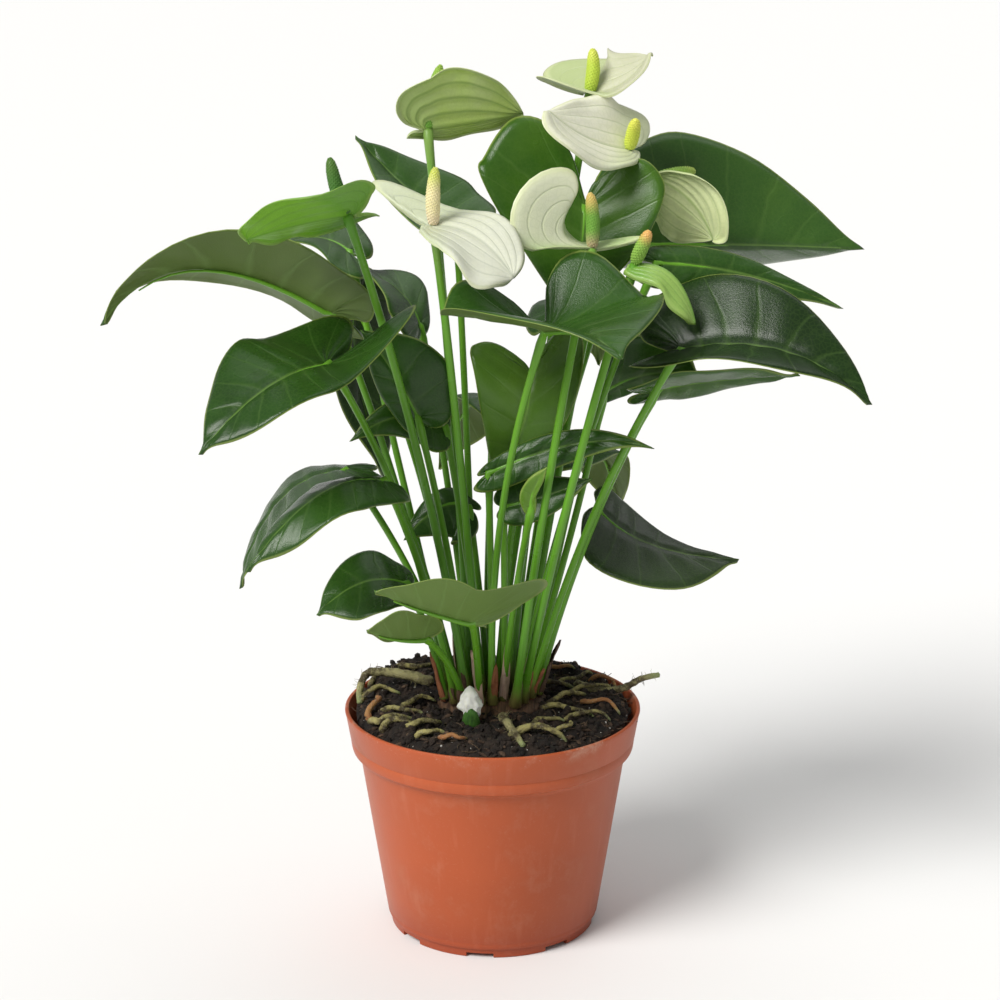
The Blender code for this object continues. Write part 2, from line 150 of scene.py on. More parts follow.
def attribute(tree, name):
    return addNode(tree, "ShaderNodeAttribute", attribute_name=name).outputs["Fac"]


def objectPlace(tree):
    return addNode(tree, "ShaderNodeTexCoord").outputs["Object"]


def grainPlace(tree):
    return addNode(tree, "ShaderNodeUVMap", uv_map="grain").outputs[0]


def objectNoise(tree, scale, detail=3.0, roughness=0.55):
    values = {"Vector": objectPlace(tree), "Scale": scale, "Detail": detail,
              "Roughness": roughness}
    return addNode(tree, "ShaderNodeTexNoise", values).outputs["Fac"]


def stretchedNoise(tree, spot, scale, detail=3.0):
    # Noise drawn out into streaks, because its scale differs along each axis.
    drawn = addNode(tree, "ShaderNodeMapping", {"Vector": spot, "Scale": scale}).outputs[0]
    values = {"Vector": drawn, "Scale": 1.0, "Detail": detail}
    return addNode(tree, "ShaderNodeTexNoise", values).outputs["Fac"]


def newGroup(name, inputs, outputs):
    tree = bpy.data.node_groups.new(name, "ShaderNodeTree")
    for label, kind, value in inputs:
        socket = tree.interface.new_socket(label, in_out="INPUT", socket_type=kind)
        socket.default_value = value
    for label, kind in outputs:
        tree.interface.new_socket(label, in_out="OUTPUT", socket_type=kind)
    return tree, tree.nodes.new("NodeGroupInput"), tree.nodes.new("NodeGroupOutput")


def useEffect(tree, name, **inputs):
    return addNode(tree, "ShaderNodeGroup", inputs, node_tree=effects[name]).outputs


def newMaterial(name, color, roughness):
    material = bpy.data.materials.new(name)
    material.use_nodes = True
    shader = material.node_tree.nodes["Principled BSDF"]
    shader.inputs["Base Color"].default_value = (*color, 1.0)
    shader.inputs["Roughness"].default_value = roughness
    return material, material.node_tree, shader


def newGeometryTree(name, inputs, output):
    tree = bpy.data.node_groups.new(name, "GeometryNodeTree")
    for label, kind in inputs.items():
        tree.interface.new_socket(label, in_out="INPUT", socket_type="NodeSocket" + kind)
    tree.interface.new_socket(output, in_out="OUTPUT", socket_type="NodeSocketGeometry")
    return tree, tree.nodes.new("NodeGroupInput").outputs, tree.nodes.new("NodeGroupOutput")


def finishSkin(tree, shader, color, rough, bump, constants=None):
    # The bump is its height, its strength and its depth in metres.
    values = dict(zip(("Height", "Strength", "Distance"), bump))
    normal = addNode(tree, "ShaderNodeBump", values).outputs["Normal"]
    setInputs(tree, shader, {"Base Color": color, "Roughness": rough, "Normal": normal,
                             **(constants or {})})


# Mesh helpers.


def unit(v):
    v = np.asarray(v, float)
    return v / np.maximum(np.linalg.norm(v, axis=-1, keepdims=True), 1e-12)


class Shape:
    # Gathers vertices in mm, faces, per-corner UVs and per-vertex values of one piece.

    def __init__(self):
        self.verts, self.faces, self.slots, self.uvs = [], [], [], []
        self.values = {}
        self.count = 0

    def add(self, verts, faces, uvs, slot=0, **values):
        verts = np.asarray(verts, float)
        for f, uv in zip(faces, uvs):
            self.faces.append(tuple(i + self.count for i in f))
            self.uvs.extend(uv)
            self.slots.append(slot)
        for key in set(self.values) | set(values):
            column = self.values.setdefault(key, [0.0] * self.count)
            new = values.get(key, 0.0)
            column.extend(np.broadcast_to(np.asarray(new, float), len(verts)).tolist())
        self.verts.append(verts)
        self.count += len(verts)

    def rod(self, points, radii, sides, wobble=0.0, slot=0, **values):
        verts, faces, uvs, lengths = sweep(points, radii, sides, wobble)
        self.add(verts, faces, uvs, slot, **{"share": lengths / lengths.max(), **values})

    def build(self, name, materials):
        mesh = bpy.data.meshes.new(name)
        verts = np.concatenate(self.verts) * mm
        mesh.from_pydata(verts.tolist(), [], self.faces)
        layer = mesh.uv_layers.new(name="grain")
        layer.uv.foreach_set("vector", np.asarray(self.uvs, float).ravel())
        mesh.polygons.foreach_set("material_index", self.slots)
        for key, column in self.values.items():
            store = mesh.attributes.new(key, "FLOAT", "POINT")
            store.data.foreach_set("value", column)
        for material in materials:
            mesh.materials.append(material)
        mesh.polygons.foreach_set("use_smooth", [True] * len(mesh.polygons))
        mesh.update()
        return addObject(name, mesh)


def discFaces(rings, around):
    # A fan round vertex 0 and the rings beyond it, and where the last ring starts.
    faces = [(0, 1 + j, 1 + (j + 1) % around) for j in range(around)]
    for i in range(rings - 1):
        a, b = 1 + i * around, 1 + (i + 1) * around
        faces += [(a + j, b + j, b + (j + 1) % around, a + (j + 1) % around)
                  for j in range(around)]
    return faces, 1 + (rings - 1) * around


def place(piece, slot, *nodes):
    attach(piece, "root")
    if nodes:
        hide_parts(*nodes)


def sweep(points, radii, sides, wobble=0.0):
    # A closed rod through the points: returns verts, faces, uvs and the length at each vertex.
    points = np.asarray(points, float)
    radii = np.asarray(radii, float)
    tangent = unit(np.gradient(points, axis=0))
    side = unit(np.cross(tangent[0], [0.13, 0.87, 0.47]))
    length = np.concatenate([[0], np.cumsum(np.linalg.norm(np.diff(points, axis=0), axis=1))])
    verts, lengths = [points[0] - tangent[0] * radii[0] * 0.5], [0.0]
    angle = np.arange(sides) / sides * math.tau
    for i, (p, r, t) in enumerate(zip(points, radii, tangent)):
        side = unit(side - t * side.dot(t))
        other = np.cross(t, side)
        bumps = 1.0 + wobble * np.array([noise.noise(Vector((math.cos(a) * 2, math.sin(a) * 2,
                                                             length[i] * 0.35))) for a in angle])
        ring = p + (np.outer(np.cos(angle) * bumps, side)
                    + np.outer(np.sin(angle) * bumps, other)) * r
        verts.extend(ring)
        lengths.extend([length[i]] * sides)
    verts.append(points[-1] + tangent[-1] * radii[-1] * 0.5)
    lengths.append(length[-1])
    faces, uvs = [], []
    last = len(verts) - 1
    for j in range(sides):
        k = (j + 1) % sides
        u0, u1 = j / sides, (j + 1) / sides
        faces.append((0, 1 + k, 1 + j))
        uvs.append([(u0, 0), (u1, 0), (u0, 0)])
        top = 1 + (len(points) - 1) * sides
        faces.append((last, top + j, top + k))
        uvs.append([(u0, length[-1]), (u0, length[-1]), (u1, length[-1])])
        for i in range(len(points) - 1):
            a, b = 1 + i * sides, 1 + (i + 1) * sides
            faces.append((a + j, a + k, b + k, b + j))
            uvs.append([(u0, length[i]), (u1, length[i]), (u1, length[i + 1]),
                        (u0, length[i + 1])])
    return np.array(verts), faces, uvs, np.array(lengths)


def through(points, s):
    # Catmull-Rom through the points, read at shares s.
    points = np.asarray(points, float)
    ends = np.vstack([2 * points[0] - points[1], points, 2 * points[-1] - points[-2]])
    spans = len(points) - 1
    s = np.clip(np.asarray(s, float), 0, 1) * spans
    i = np.minimum(s.astype(int), spans - 1)
    f = (s - i)[..., None]
    a, b, c, d = ends[i], ends[i + 1], ends[i + 2], ends[i + 3]
    return 0.5 * (2 * b + (c - a) * f + (2 * a - 5 * b + 4 * c - d) * f ** 2
                  + (3 * b - a - 3 * c + d) * f ** 3)


def bezier(a, b, c, u):
    u = np.asarray(u, float)[..., None]
    return a * (1 - u) ** 2 + b * (2 * u * (1 - u)) + c * u ** 2


# Blades.

leafMargin = [
    (-0.03, 0.0), (-0.17, 0.14), (-0.25, 0.40), (-0.20, 0.72), (0.0, 0.96),
    (0.17, 1.0), (0.45, 0.80), (0.72, 0.43), (0.90, 0.13), (1.0, 0.0),
]
spatheMargin = [
    (-0.02, 0.0), (-0.12, 0.16), (-0.17, 0.42), (-0.12, 0.72), (0.05, 0.95),
    (0.25, 1.0), (0.50, 0.92), (0.75, 0.66), (0.92, 0.30), (1.0, 0.0),
]
widest, sinus, fanEnd = 0.17, 0.12, 0.36


class Blade:
    # The curved surface of a leaf or spathe from its five points, in mm.

    def __init__(self, spec, margin):
        self.spec, self.margin = spec, margin
        self.base, self.crest, self.tip = (np.array(spec[k], float)
                                           for k in ("base", "crest", "tip"))
        self.us = np.linspace(0, 1, 81)
        line = bezier(self.base, self.crest, self.tip, self.us)
        run = np.concatenate([[0], np.cumsum(np.linalg.norm(np.diff(line, axis=0), axis=1))])
        self.length = run[-1]
        self.shares = run / run[-1]
        left, right = np.array(spec["left"], float), np.array(spec["right"], float)
        chord = unit(self.tip - self.base)
        across = right - left
        self.across = unit(across - chord * across.dot(chord))
        middle, along, side, up = self.axes(widest)
        self.arms = [((e - middle).dot(along), (e - middle).dot(side), (e - middle).dot(up))
                     for e in (left, right)]
        self.halfWidth = sum(math.hypot(arm[1], arm[2]) for arm in self.arms) / 2

    def axes(self, share):
        u = np.interp(np.clip(share, 0, 1), self.shares, self.us)
        middle = bezier(self.base, self.crest, self.tip, u)
        uu = np.asarray(u, float)[..., None]
        along = unit((self.crest - self.base) * (1 - uu) + (self.tip - self.crest) * uu)
        side = unit(self.across - along * (along @ self.across)[..., None])
        return middle, along, side, np.cross(side, along)

    def points(self, around, out):
        spec = self.spec
        t = np.abs(out)
        edge = through(self.margin, around)
        own = np.minimum(around / sinus, 1.0)
        right = out >= 0
        lobes, lifts = spec.get("lobe", (1, 1)), spec.get("lift", (0, 0))
        lobe = sum(lobes) / 2 * (1 - own) + np.where(right, lobes[1], lobes[0]) * own
        lift = own * np.where(right, lifts[1], lifts[0])
        start = (np.maximum(around - fanEnd, 0) / (1 - fanEnd)) ** 1.15
        x = start + (edge[..., 0] - start) * t ** 1.3
        y = edge[..., 1] * t ** 0.95
        middle, along, side, up = self.axes(x)
        behind = np.minimum(x, 0)
        arm = np.where(right[..., None], self.arms[1], self.arms[0])
        lift = lift * np.minimum(-behind / 0.25, 1) ** 1.3
        flat = (middle + along * (behind * self.length * lobe + arm[..., 0] * y)[..., None]
                + side * (arm[..., 1] * y)[..., None]
                + up * (arm[..., 2] * y + lift)[..., None])
        veins = spec["veins"]
        if spec.get("lengthwise"):  # veins follow the margin from foot to tip
            bulge = (0.5 - 0.5 * np.cos(math.tau * t * veins)) * np.sin(math.pi * around) ** 0.5
        else:
            bulge = 0.5 - 0.5 * np.cos(math.tau * around * veins)
            bulge = bulge * np.sin(math.pi * np.clip(t, 0, 1) ** 0.8) ** 0.7
        bulge = bulge * spec["puff"]
        mid = self.halfWidth * y
        groove = -spec["groove"] * np.exp(-(mid / 1.6) ** 2) * (1 - x.clip(0, 1)) ** 0.5
        wave = np.sin(around * 23 + np.where(right, 1.3, 0))
        ripple = spec["ripple"] * wave * t ** 3 * own
        roll = -spec["roll"] * np.clip((t - 0.86) / 0.14, 0, 1) ** 2
        return flat + up * (bulge + groove + ripple + roll)[..., None], x


def bladeShape(shape, blade, thickness, nAround=44, nOut=10, **values):
    # Adds the blade as one closed skin: an upper and a lower side joined round the margin.
    i, j = np.meshgrid(np.arange(nAround + 1), np.arange(-nOut, nOut + 1), indexing="ij")
    around, out = i / nAround, j / nOut
    out = np.sign(out) * np.abs(out) ** 0.9
    grid, x = blade.points(around, out)
    width = 2 * nOut + 1
    ids = np.arange(grid[..., 0].size).reshape(grid.shape[:2])
    fan = around[:, 0] <= fanEnd
    ids[fan, nOut] = ids[0, nOut]
    ids[0, nOut + 1:] = ids[0, :nOut][::-1]
    ids[nAround, :] = ids[nAround, nOut]
    keep, index = np.unique(ids, return_inverse=True)
    index = index.reshape(ids.shape)
    flatGrid = grid.reshape(-1, 3)[keep]
    faces, uvs = [], []
    veins, lengthwise = blade.spec["veins"], blade.spec.get("lengthwise")
    for a in range(nAround):
        for b in range(width - 1):
            ring = [(a, b), (a, b + 1), (a + 1, b + 1), (a + 1, b)]
            corners, uv = [], []
            for c in ring:
                v = int(index[c])
                if v not in corners:
                    corners.append(v)
                    uv.append((abs(out[c]) * veins, 0.8) if lengthwise
                              else (around[c] * veins, out[c]))
            if len(corners) > 2:
                faces.append(tuple(corners))
                uvs.append(uv)
    normal = np.zeros_like(flatGrid)
    for f in faces:
        p = flatGrid[list(f)]
        n = np.cross(p[1] - p[0], p[2] - p[0]) + np.cross(p[-2] - p[0], p[-1] - p[0])
        for v in f:
            normal[v] += n
    normal = unit(normal)
    flatOut = np.abs(out).reshape(-1)[keep]
    half = (thickness / 2 * (1 - 0.5 * flatOut ** 6))[:, None]
    upper, lower = flatGrid + normal * half, flatGrid - normal * half
    n = len(flatGrid)
    edge = [int(index[a, 0]) for a in range(nAround + 1)]
    edge += [int(index[a, width - 1]) for a in range(nAround - 1, 0, -1)]
    allFaces = faces + [tuple(v + n for v in reversed(f)) for f in faces]
    allUvs = uvs + [list(reversed(uv)) for uv in uvs]
    for a, b in zip(edge, edge[1:] + edge[:1]):
        allFaces.append((a, b, b + n, a + n))
        allUvs.append([(0.5, 1.0)] * 4)
    sideMm = (np.abs(out) * through(blade.margin, around)[..., 1] * blade.halfWidth)
    sideMm = sideMm.reshape(-1)[keep]
    gap = ((1 - np.abs(out)) * blade.halfWidth
           * np.maximum(through(blade.margin, around)[..., 1], 0.35)).reshape(-1)[keep]
    run = x.reshape(-1)[keep]
    shape.add(np.concatenate([upper, lower]), allFaces, allUvs, under=np.repeat([0.0, 1.0], n),
              sideMm=np.tile(sideMm, 2), edgeMm=np.tile(gap, 2), run=np.tile(run, 2), **values)


# One tone and one painted sheen a leaf (a grey haze that stands in for reflected light); the
# places repeat the solid model's own, in mm.
leafSpecs = {
    "leaf_01": dict(foot=(-18, -2), base=(-62, 2, 254), crest=(-123, -5, 294),
        tip=(-150, -15, 252), left=(-70, -22, 284), right=(-86, 28, 254), lobe=(0.6, 0.8),
        tone=0.42, grey=0.35),
    "leaf_02": dict(foot=(-17, 8), base=(-58, 40, 272), crest=(-70, 50, 280), tip=(-87, 56, 271),
        left=(-65, 26, 270), right=(-63, 66, 283), lobe=(1.5, 1.5), bow=(-4, 4), tone=0.35,
        grey=0.15),
    "leaf_03": dict(foot=(-14, -7), base=(-61, -45, 244), crest=(-81, -75, 249),
        tip=(-105, -85, 219), left=(-61, -80, 240), right=(-95, -40, 251), lobe=(2.4, 1.6),
        lift=(26, 12), bow=(0, 9), tone=0.28, grey=0.0),
    "leaf_04": dict(foot=(-12, 8), base=(-57, 56, 249), crest=(-59, 58, 214), tip=(-45, 48, 175),
        left=(-39, 66, 219), right=(-67, 44, 226), bow=(2, 3), tone=0.12, grey=0.35),
    "leaf_05": dict(foot=(-9, 13), base=(-29, 27, 244), crest=(-33, 37, 258), tip=(-54, 47, 263),
        left=(-41, 12, 255), right=(-32, 52, 260), bow=(0, 6), tone=0.4, grey=0.2),
    "leaf_06": dict(foot=(-9, -4), base=(-29, -12, 215), crest=(-39, -14, 238),
        tip=(-51, -8, 249), left=(-44, -12, 225), right=(-17, -12, 237), tone=0.45, grey=0.05),
    "leaf_07": dict(foot=(-4, 0), base=(-19, 1, 209), crest=(-36, -2, 220), tip=(-56, -6, 204),
        left=(-26, -4, 201), right=(-31, 3, 220), lobe=(0.5, 0.5), tone=0.5, grey=0.05),
    "leaf_08": dict(foot=(-15, -13), base=(-41, -44, 199), crest=(-63, -69, 212),
        tip=(-90, -79, 173), left=(-51, -74, 195), right=(-66, -34, 194), lobe=(1, 0.5),
        tone=0.35, grey=0.15),
    "leaf_09": dict(foot=(-14, 3), base=(-60, 20, 186), crest=(-91, 10, 188), tip=(-102, 5, 140),
        left=(-72, -10, 183), right=(-80, 35, 181), tone=0.3, grey=0.2),
    "leaf_10": dict(foot=(-19, -8), base=(-34, -15, 149), crest=(-51, -25, 159),
        tip=(-68, -35, 142), left=(-42, -45, 147), right=(-48, -4, 159), lobe=(0.7, 0.7),
        tone=0.35, grey=0.1),
    "leaf_11": dict(foot=(-5, -16), base=(-8, -55, 146), crest=(-25, -70, 155),
        tip=(-43, -82, 167), left=(-11, -86, 172), right=(-20, -40, 144), lobe=(3.2, 1),
        lift=(16, 0), tone=0.7, grey=0.1),
    "leaf_12": dict(foot=(-11, -17), base=(-26, -45, 136), crest=(-37, -58, 139),
        tip=(-47, -65, 146), left=(-31, -68, 155), right=(-36, -38, 133), lobe=(1.6, 1), tone=0.6,
        grey=0.1),
    "leaf_13": dict(foot=(-2, 8), base=(-10, 15, 172), crest=(-21, 14, 178), tip=(-36, 13, 158),
        left=(-15, 11, 157), right=(-21, 19, 178), tone=0.35, grey=0.1),
    "leaf_14": dict(foot=(-7, 8), base=(-15, 39, 284), crest=(-29, 49, 288), tip=(-56, 64, 315),
        left=(-30, 19, 285), right=(-12, 59, 298), bow=(0, 4), tone=0.4, grey=0.2),
    "leaf_15": dict(foot=(8, 4), base=(36, 8, 295), crest=(35, 1, 275), tip=(29, -1, 251),
        left=(66, 1, 299), right=(-5, 4, 308), lobe=(1, 2.2), bow=(3, 9), tone=0.62, grey=0.0),
    "leaf_16": dict(foot=(0, -15), base=(20, -38, 255), crest=(34, -78, 266), tip=(46, -94, 256),
        left=(63, -44, 270), right=(-17, -48, 265), lobe=(0.86, 0.9), lift=(25, 17), bow=(-5, 0),
        tone=0.42, grey=0.1),
    "leaf_17": dict(foot=(17, 8), base=(61, 38, 274), crest=(104, 43, 274), tip=(151, 48, 271),
        left=(80, 63, 316), right=(82, 68, 258), bow=(0, 4), tone=0.5, grey=0.25),
    "leaf_18": dict(foot=(10, -7), base=(64, -1, 274), crest=(99, 2, 273), tip=(137, 4, 255),
        left=(81, 7, 279), right=(76, -1, 263), lobe=(0.5, 0.5), tone=0.35, grey=0.1),
    "leaf_19": dict(foot=(15, -7), base=(72, -25, 245), crest=(112, -35, 257),
        tip=(142, -45, 228), left=(85, -8, 271), right=(80, -62, 249), lobe=(0.8, 1), tone=0.08,
        grey=0.0),
    "leaf_20": dict(foot=(18, -3), base=(65, -4, 224), crest=(89, -4, 229), tip=(120, -4, 230),
        left=(77, -20, 235), right=(78, 5, 219), tone=0.55, grey=0.1),
    "leaf_21": dict(foot=(14, 3), base=(45, 12, 220), crest=(61, 10, 231), tip=(82, 10, 227),
        left=(58, 6, 244), right=(55, 16, 218), lobe=(0.6, 0.6), bow=(4, 0), tone=0.5, grey=0.1),
    "leaf_22": dict(foot=(2, 3), base=(15, -6, 232), crest=(16, -18, 216), tip=(1, 4, 182),
        left=(35, -17, 239), right=(-8, -10, 237), lobe=(0.4, 0.4), tone=0.75, grey=0.1),
    "leaf_23": dict(foot=(0, -5), base=(-1, -19, 195), crest=(38, -23, 215), tip=(62, -29, 207),
        left=(20, -19, 210), right=(15, -24, 194), lobe=(0.6, 0.6), tone=0.42, grey=0.05),
    "leaf_24": dict(foot=(5, -6), base=(5, -14, 180), crest=(21, -16, 184), tip=(39, -17, 192),
        left=(12, -12, 191), right=(16, -20, 175), lobe=(0.6, 0.6), tone=0.45, grey=0.05),
    "leaf_25": dict(foot=(4, -11), base=(15, -31, 184), crest=(14, -32, 191), tip=(21, -34, 201),
        left=(11, -32, 191), right=(18, -33, 192), tone=0.9, grey=0.0),
    "leaf_26": dict(foot=(19, 3), base=(44, 28, 167), crest=(59, 13, 152), tip=(100, 13, 150),
        left=(56, 40, 166), right=(52, -4, 146), lobe=(0.5, 0.5), tone=0.1, grey=0.5),
    "leaf_27": dict(foot=(2, 13), base=(28, 48, 246), crest=(42, 78, 262), tip=(46, 97, 212),
        left=(20, 76, 244), right=(54, 72, 244), tone=0.4, grey=0.1),
    "leaf_28": dict(foot=(-3, 13), base=(0, 44, 208), crest=(-9, 74, 215), tip=(-24, 96, 166),
        left=(-17, 58, 208), right=(8, 74, 199), tone=0.4, grey=0.1),
    "leaf_29": dict(foot=(7, 12), base=(30, 40, 190), crest=(48, 72, 198), tip=(55, 96, 146),
        left=(29, 74, 184), right=(57, 62, 180), tone=0.4, grey=0.1),
}

flowerSpecs = {
    "flower_1": dict(foot=(-10, -11), base=(-54, -30, 297), crest=(-70, -45, 297),
        tip=(-89, -55, 292), left=(-70, -62, 309), right=(-72, -22, 288), spadix=(-60, -29, 318),
        lobe=(3, 3), lift=(13, 2), bow=(0, 4), shade="green", puff=0.3),
    "flower_2": dict(foot=(-9, 3), base=(-25, 10, 324), crest=(-9, 15, 325), tip=(12, 20, 329),
        left=(-16, 18, 320), right=(-18, 2, 348), spadix=(-20, 24, 347), lobe=(1.5, 2),
        bow=(0, 2), shade="pale", puff=0.9),
    "flower_3": dict(foot=(-5, -9), base=(-22, -22, 292), crest=(-4, -35, 294), tip=(8, -50, 277),
        left=(-3, -15, 297), right=(-15, -55, 286), spadix=(-21, -26, 314), lobe=(4.4, 1),
        lift=(26, 2), shade="white"),
    "flower_4": dict(foot=(7, -1), base=(38, 27, 336), crest=(51, 22, 335), tip=(61, 24, 351),
        left=(46, 40, 352), right=(50, 12, 339), spadix=(39, 28, 353), lobe=(4.6, 5), lift=(0, 9),
        shade="white"),
    "flower_5": dict(foot=(12, -2), base=(53, 13, 316), crest=(36, -2, 319), tip=(21, -8, 333),
        left=(38, -16, 314), right=(46, 21, 336), spadix=(55, 6, 328), lobe=(1.5, 2), bow=(1, 8),
        shade="white"),
    "flower_6": dict(foot=(11, 8), base=(64, 25, 303), crest=(80, 21, 299), tip=(87, 17, 280),
        left=(68, 31, 281), right=(86, 11, 302), spadix=(81, 46, 303), bow=(-4, 9), shade="pale",
        puff=0.5),
    "flower_7": dict(foot=(9, -17), base=(38, -15, 282), crest=(21, -20, 285), tip=(30, -16, 299),
        left=(9, -28, 288), right=(30, -4, 285), spadix=(37, -15, 303), lobe=(0.6, 5),
        lift=(3, 14), bow=(0, -13), shade="pale", puff=0.06),
    "flower_8": dict(foot=(12, -12), base=(54, -19, 277), crest=(72, -24, 280),
        tip=(77, -27, 255), left=(67, -20, 273), right=(62, -28, 270), spadix=(59, -24, 290),
        bow=(0, -15), shade="green"),
}

potSize = {"sides": 144, "sharp": 35.0, "notches": 8, "notchWidth": 11.0,
           "notchTurn": -97.0, "clay": (0.43, 0.090, 0.030), "deep": (0.30, 0.052, 0.020)}
soilSize = {"level": 94.5, "edge": 55.4, "foot": 41.3, "rings": 46, "around": 132}
crownSize = {"x": 0.0, "y": -2.0, "radius": 22.5, "height": 4.0, "knobs": 4.2, "rings": 12,
             "around": 48}


# Leaf and spathe skins share these effects.

def buildEffects():
    effects = {}
    # Side veins: thin pale lines that run out from the midrib.
    tree, src, out = newGroup("sideVeins", [("Width", "NodeSocketFloat", 0.05)],
                              [("Lines", "NodeSocketFloat")])
    parts = addNode(tree, "ShaderNodeSeparateXYZ", {0: grainPlace(tree)}).outputs
    wander = objectNoise(tree, 60.0, 2.0)
    phase = calc(tree, "ADD", parts[0], calc(tree, "MULTIPLY", wander, 0.25))
    saw = calc(tree, "FRACT", phase)
    tri = calc(tree, "ABSOLUTE", calc(tree, "SUBTRACT", saw, 0.5))
    reach = calc(tree, "MAXIMUM", calc(tree, "ABSOLUTE", parts[1]), 0.22)
    width = calc(tree, "DIVIDE", src.outputs["Width"], reach)
    near = calc(tree, "DIVIDE", calc(tree, "SUBTRACT", 0.5, tri), width)
    line = calc(tree, "SUBTRACT", 1.0, near, clamp=True)
    tree.links.new(line, out.inputs["Lines"])
    effects["veins"] = tree

    # The fine net between the veins, and slow mottling of the whole skin.
    tree, src, out = newGroup("skinNet", [("Scale", "NodeSocketFloat", 420.0)],
                              [("Net", "NodeSocketFloat"), ("Mottle", "NodeSocketFloat"),
                               ("Grain", "NodeSocketFloat")])
    values = {"Vector": objectPlace(tree), "Scale": src.outputs["Scale"]}
    cells = addNode(tree, "ShaderNodeTexVoronoi", values, feature="DISTANCE_TO_EDGE").outputs
    net = ramp(tree, cells["Distance"], 0.0, 0.16, 1.0, 0.0)
    setInputs(tree, out, {"Net": net, "Mottle": objectNoise(tree, 38.0, 4.0),
                          "Grain": objectNoise(tree, 2600.0, 2.0)})
    effects["net"] = tree

    # Dust and scuffs for the pot.
    tree, src, out = newGroup("dustAndScuff", [("Amount", "NodeSocketFloat", 1.0)],
                              [("Dust", "NodeSocketFloat"), ("Scuff", "NodeSocketFloat")])
    soft = ramp(tree, objectNoise(tree, 55.0, 6.0, 0.7), 0.5, 0.75)
    specks = ramp(tree, objectNoise(tree, 900.0, 2.0), 0.62, 0.72)
    mixed = calc(tree, "MULTIPLY", calc(tree, "ADD", soft, calc(tree, "MULTIPLY", specks, 0.4)),
                 src.outputs["Amount"], clamp=True)
    streak = stretchedNoise(tree, objectPlace(tree), (240.0, 240.0, 18.0))
    setInputs(tree, out, {"Dust": mixed, "Scuff": ramp(tree, streak, 0.56, 0.74)})
    effects["dust"] = tree
    return effects


effects = buildEffects()


def leafSkin():
    material, tree, shader = newMaterial("leafSkin", (0.05, 0.15, 0.02), 0.4)
    tone, grey = attribute(tree, "tone"), attribute(tree, "grey")
    under, edge = attribute(tree, "under"), attribute(tree, "edgeMm")
    run, sideMm = attribute(tree, "run"), attribute(tree, "sideMm")
    net = useEffect(tree, "net", Scale=560.0)
    veins = useEffect(tree, "veins", Width=0.035)
    shade = calc(tree, "ADD", tone, calc(tree, "MULTIPLY_ADD", net["Mottle"], 0.5, -0.25),
                 clamp=True)
    dark = blendColor(tree, ramp(tree, shade, 0.0, 0.5), (0.008, 0.024, 0.004),
                      (0.020, 0.074, 0.005))
    color = blendColor(tree, ramp(tree, shade, 0.45, 1.0), dark, (0.10, 0.21, 0.018))
    # Painted sheen: a grey haze, mixed in by each leaf's own amount, stands in for the bright
    # surroundings reflected in the gloss.
    color = blendColor(tree, calc(tree, "MULTIPLY", grey, 0.45), color, (0.09, 0.12, 0.065))
    pale = calc(tree, "MULTIPLY", net["Net"], 0.07)
    color = blendColor(tree, pale, color, (0.11, 0.20, 0.04))
    color = blendColor(tree, calc(tree, "MULTIPLY", veins["Lines"], 0.18), color,
                       (0.10, 0.19, 0.04))
    back = blendColor(tree, ramp(tree, shade, 0.0, 1.0), (0.075, 0.110, 0.022),
                      (0.125, 0.215, 0.042))
    back = blendColor(tree, calc(tree, "MULTIPLY", veins["Lines"], 0.35), back,
                      (0.16, 0.27, 0.07))
    color = blendColor(tree, under, color, back)
    wide = calc(tree, "MULTIPLY_ADD", run, -0.9, 1.15)
    rib = calc(tree, "SUBTRACT", 1.0, calc(tree, "DIVIDE", sideMm, wide), clamp=True)
    rib = calc(tree, "MULTIPLY", rib, 0.6)
    color = blendColor(tree, rib, color, (0.15, 0.27, 0.05))
    rim = ramp(tree, edge, 0.15, 0.6, 0.7, 0.0)
    color = blendColor(tree, rim, color, (0.24, 0.32, 0.07))
    rough = calc(tree, "MULTIPLY_ADD", net["Mottle"], 0.18, 0.17)
    rough = calc(tree, "ADD", rough, calc(tree, "MULTIPLY", under, 0.3))
    height = calc(tree, "MULTIPLY_ADD", net["Net"], -0.14, net["Grain"])
    height = calc(tree, "ADD", height, calc(tree, "MULTIPLY", veins["Lines"], -1.1))
    finishSkin(tree, shader, color, rough, (height, 0.28, 0.0003), {"Specular IOR Level": 0.30})
    return material


def stalkSkin(name, low, high, tip):
    # Stem green: red-brown flecks at the foot, fine lengthwise streaks, shiny.
    material, tree, shader = newMaterial(name, low, 0.33)
    share = attribute(tree, "share")
    net = useEffect(tree, "net", Scale=700.0)
    streak = stretchedNoise(tree, grainPlace(tree), (26.0, 0.06, 1.0))
    color = blendColor(tree, ramp(tree, share, 0.0, 0.85), low, high)
    color = blendColor(tree, ramp(tree, share, 0.86, 1.0), color, tip)
    color = blendColor(tree, ramp(tree, streak, 0.35, 0.75, 0.0, 0.45), color,
                       tuple(c * 1.7 for c in low))
    foot = calc(tree, "MULTIPLY", ramp(tree, share, 0.0, 0.07, 1.0, 0.0),
                ramp(tree, net["Mottle"], 0.3, 0.7, 0.3, 1.0))
    color = blendColor(tree, foot, color, (0.22, 0.12, 0.06))
    rough = ramp(tree, net["Mottle"], 0.2, 0.8, 0.22, 0.40)
    height = calc(tree, "ADD", streak, net["Grain"])
    finishSkin(tree, shader, color, rough, (height, 0.25, 0.0003), {"Specular IOR Level": 0.34})
    return material


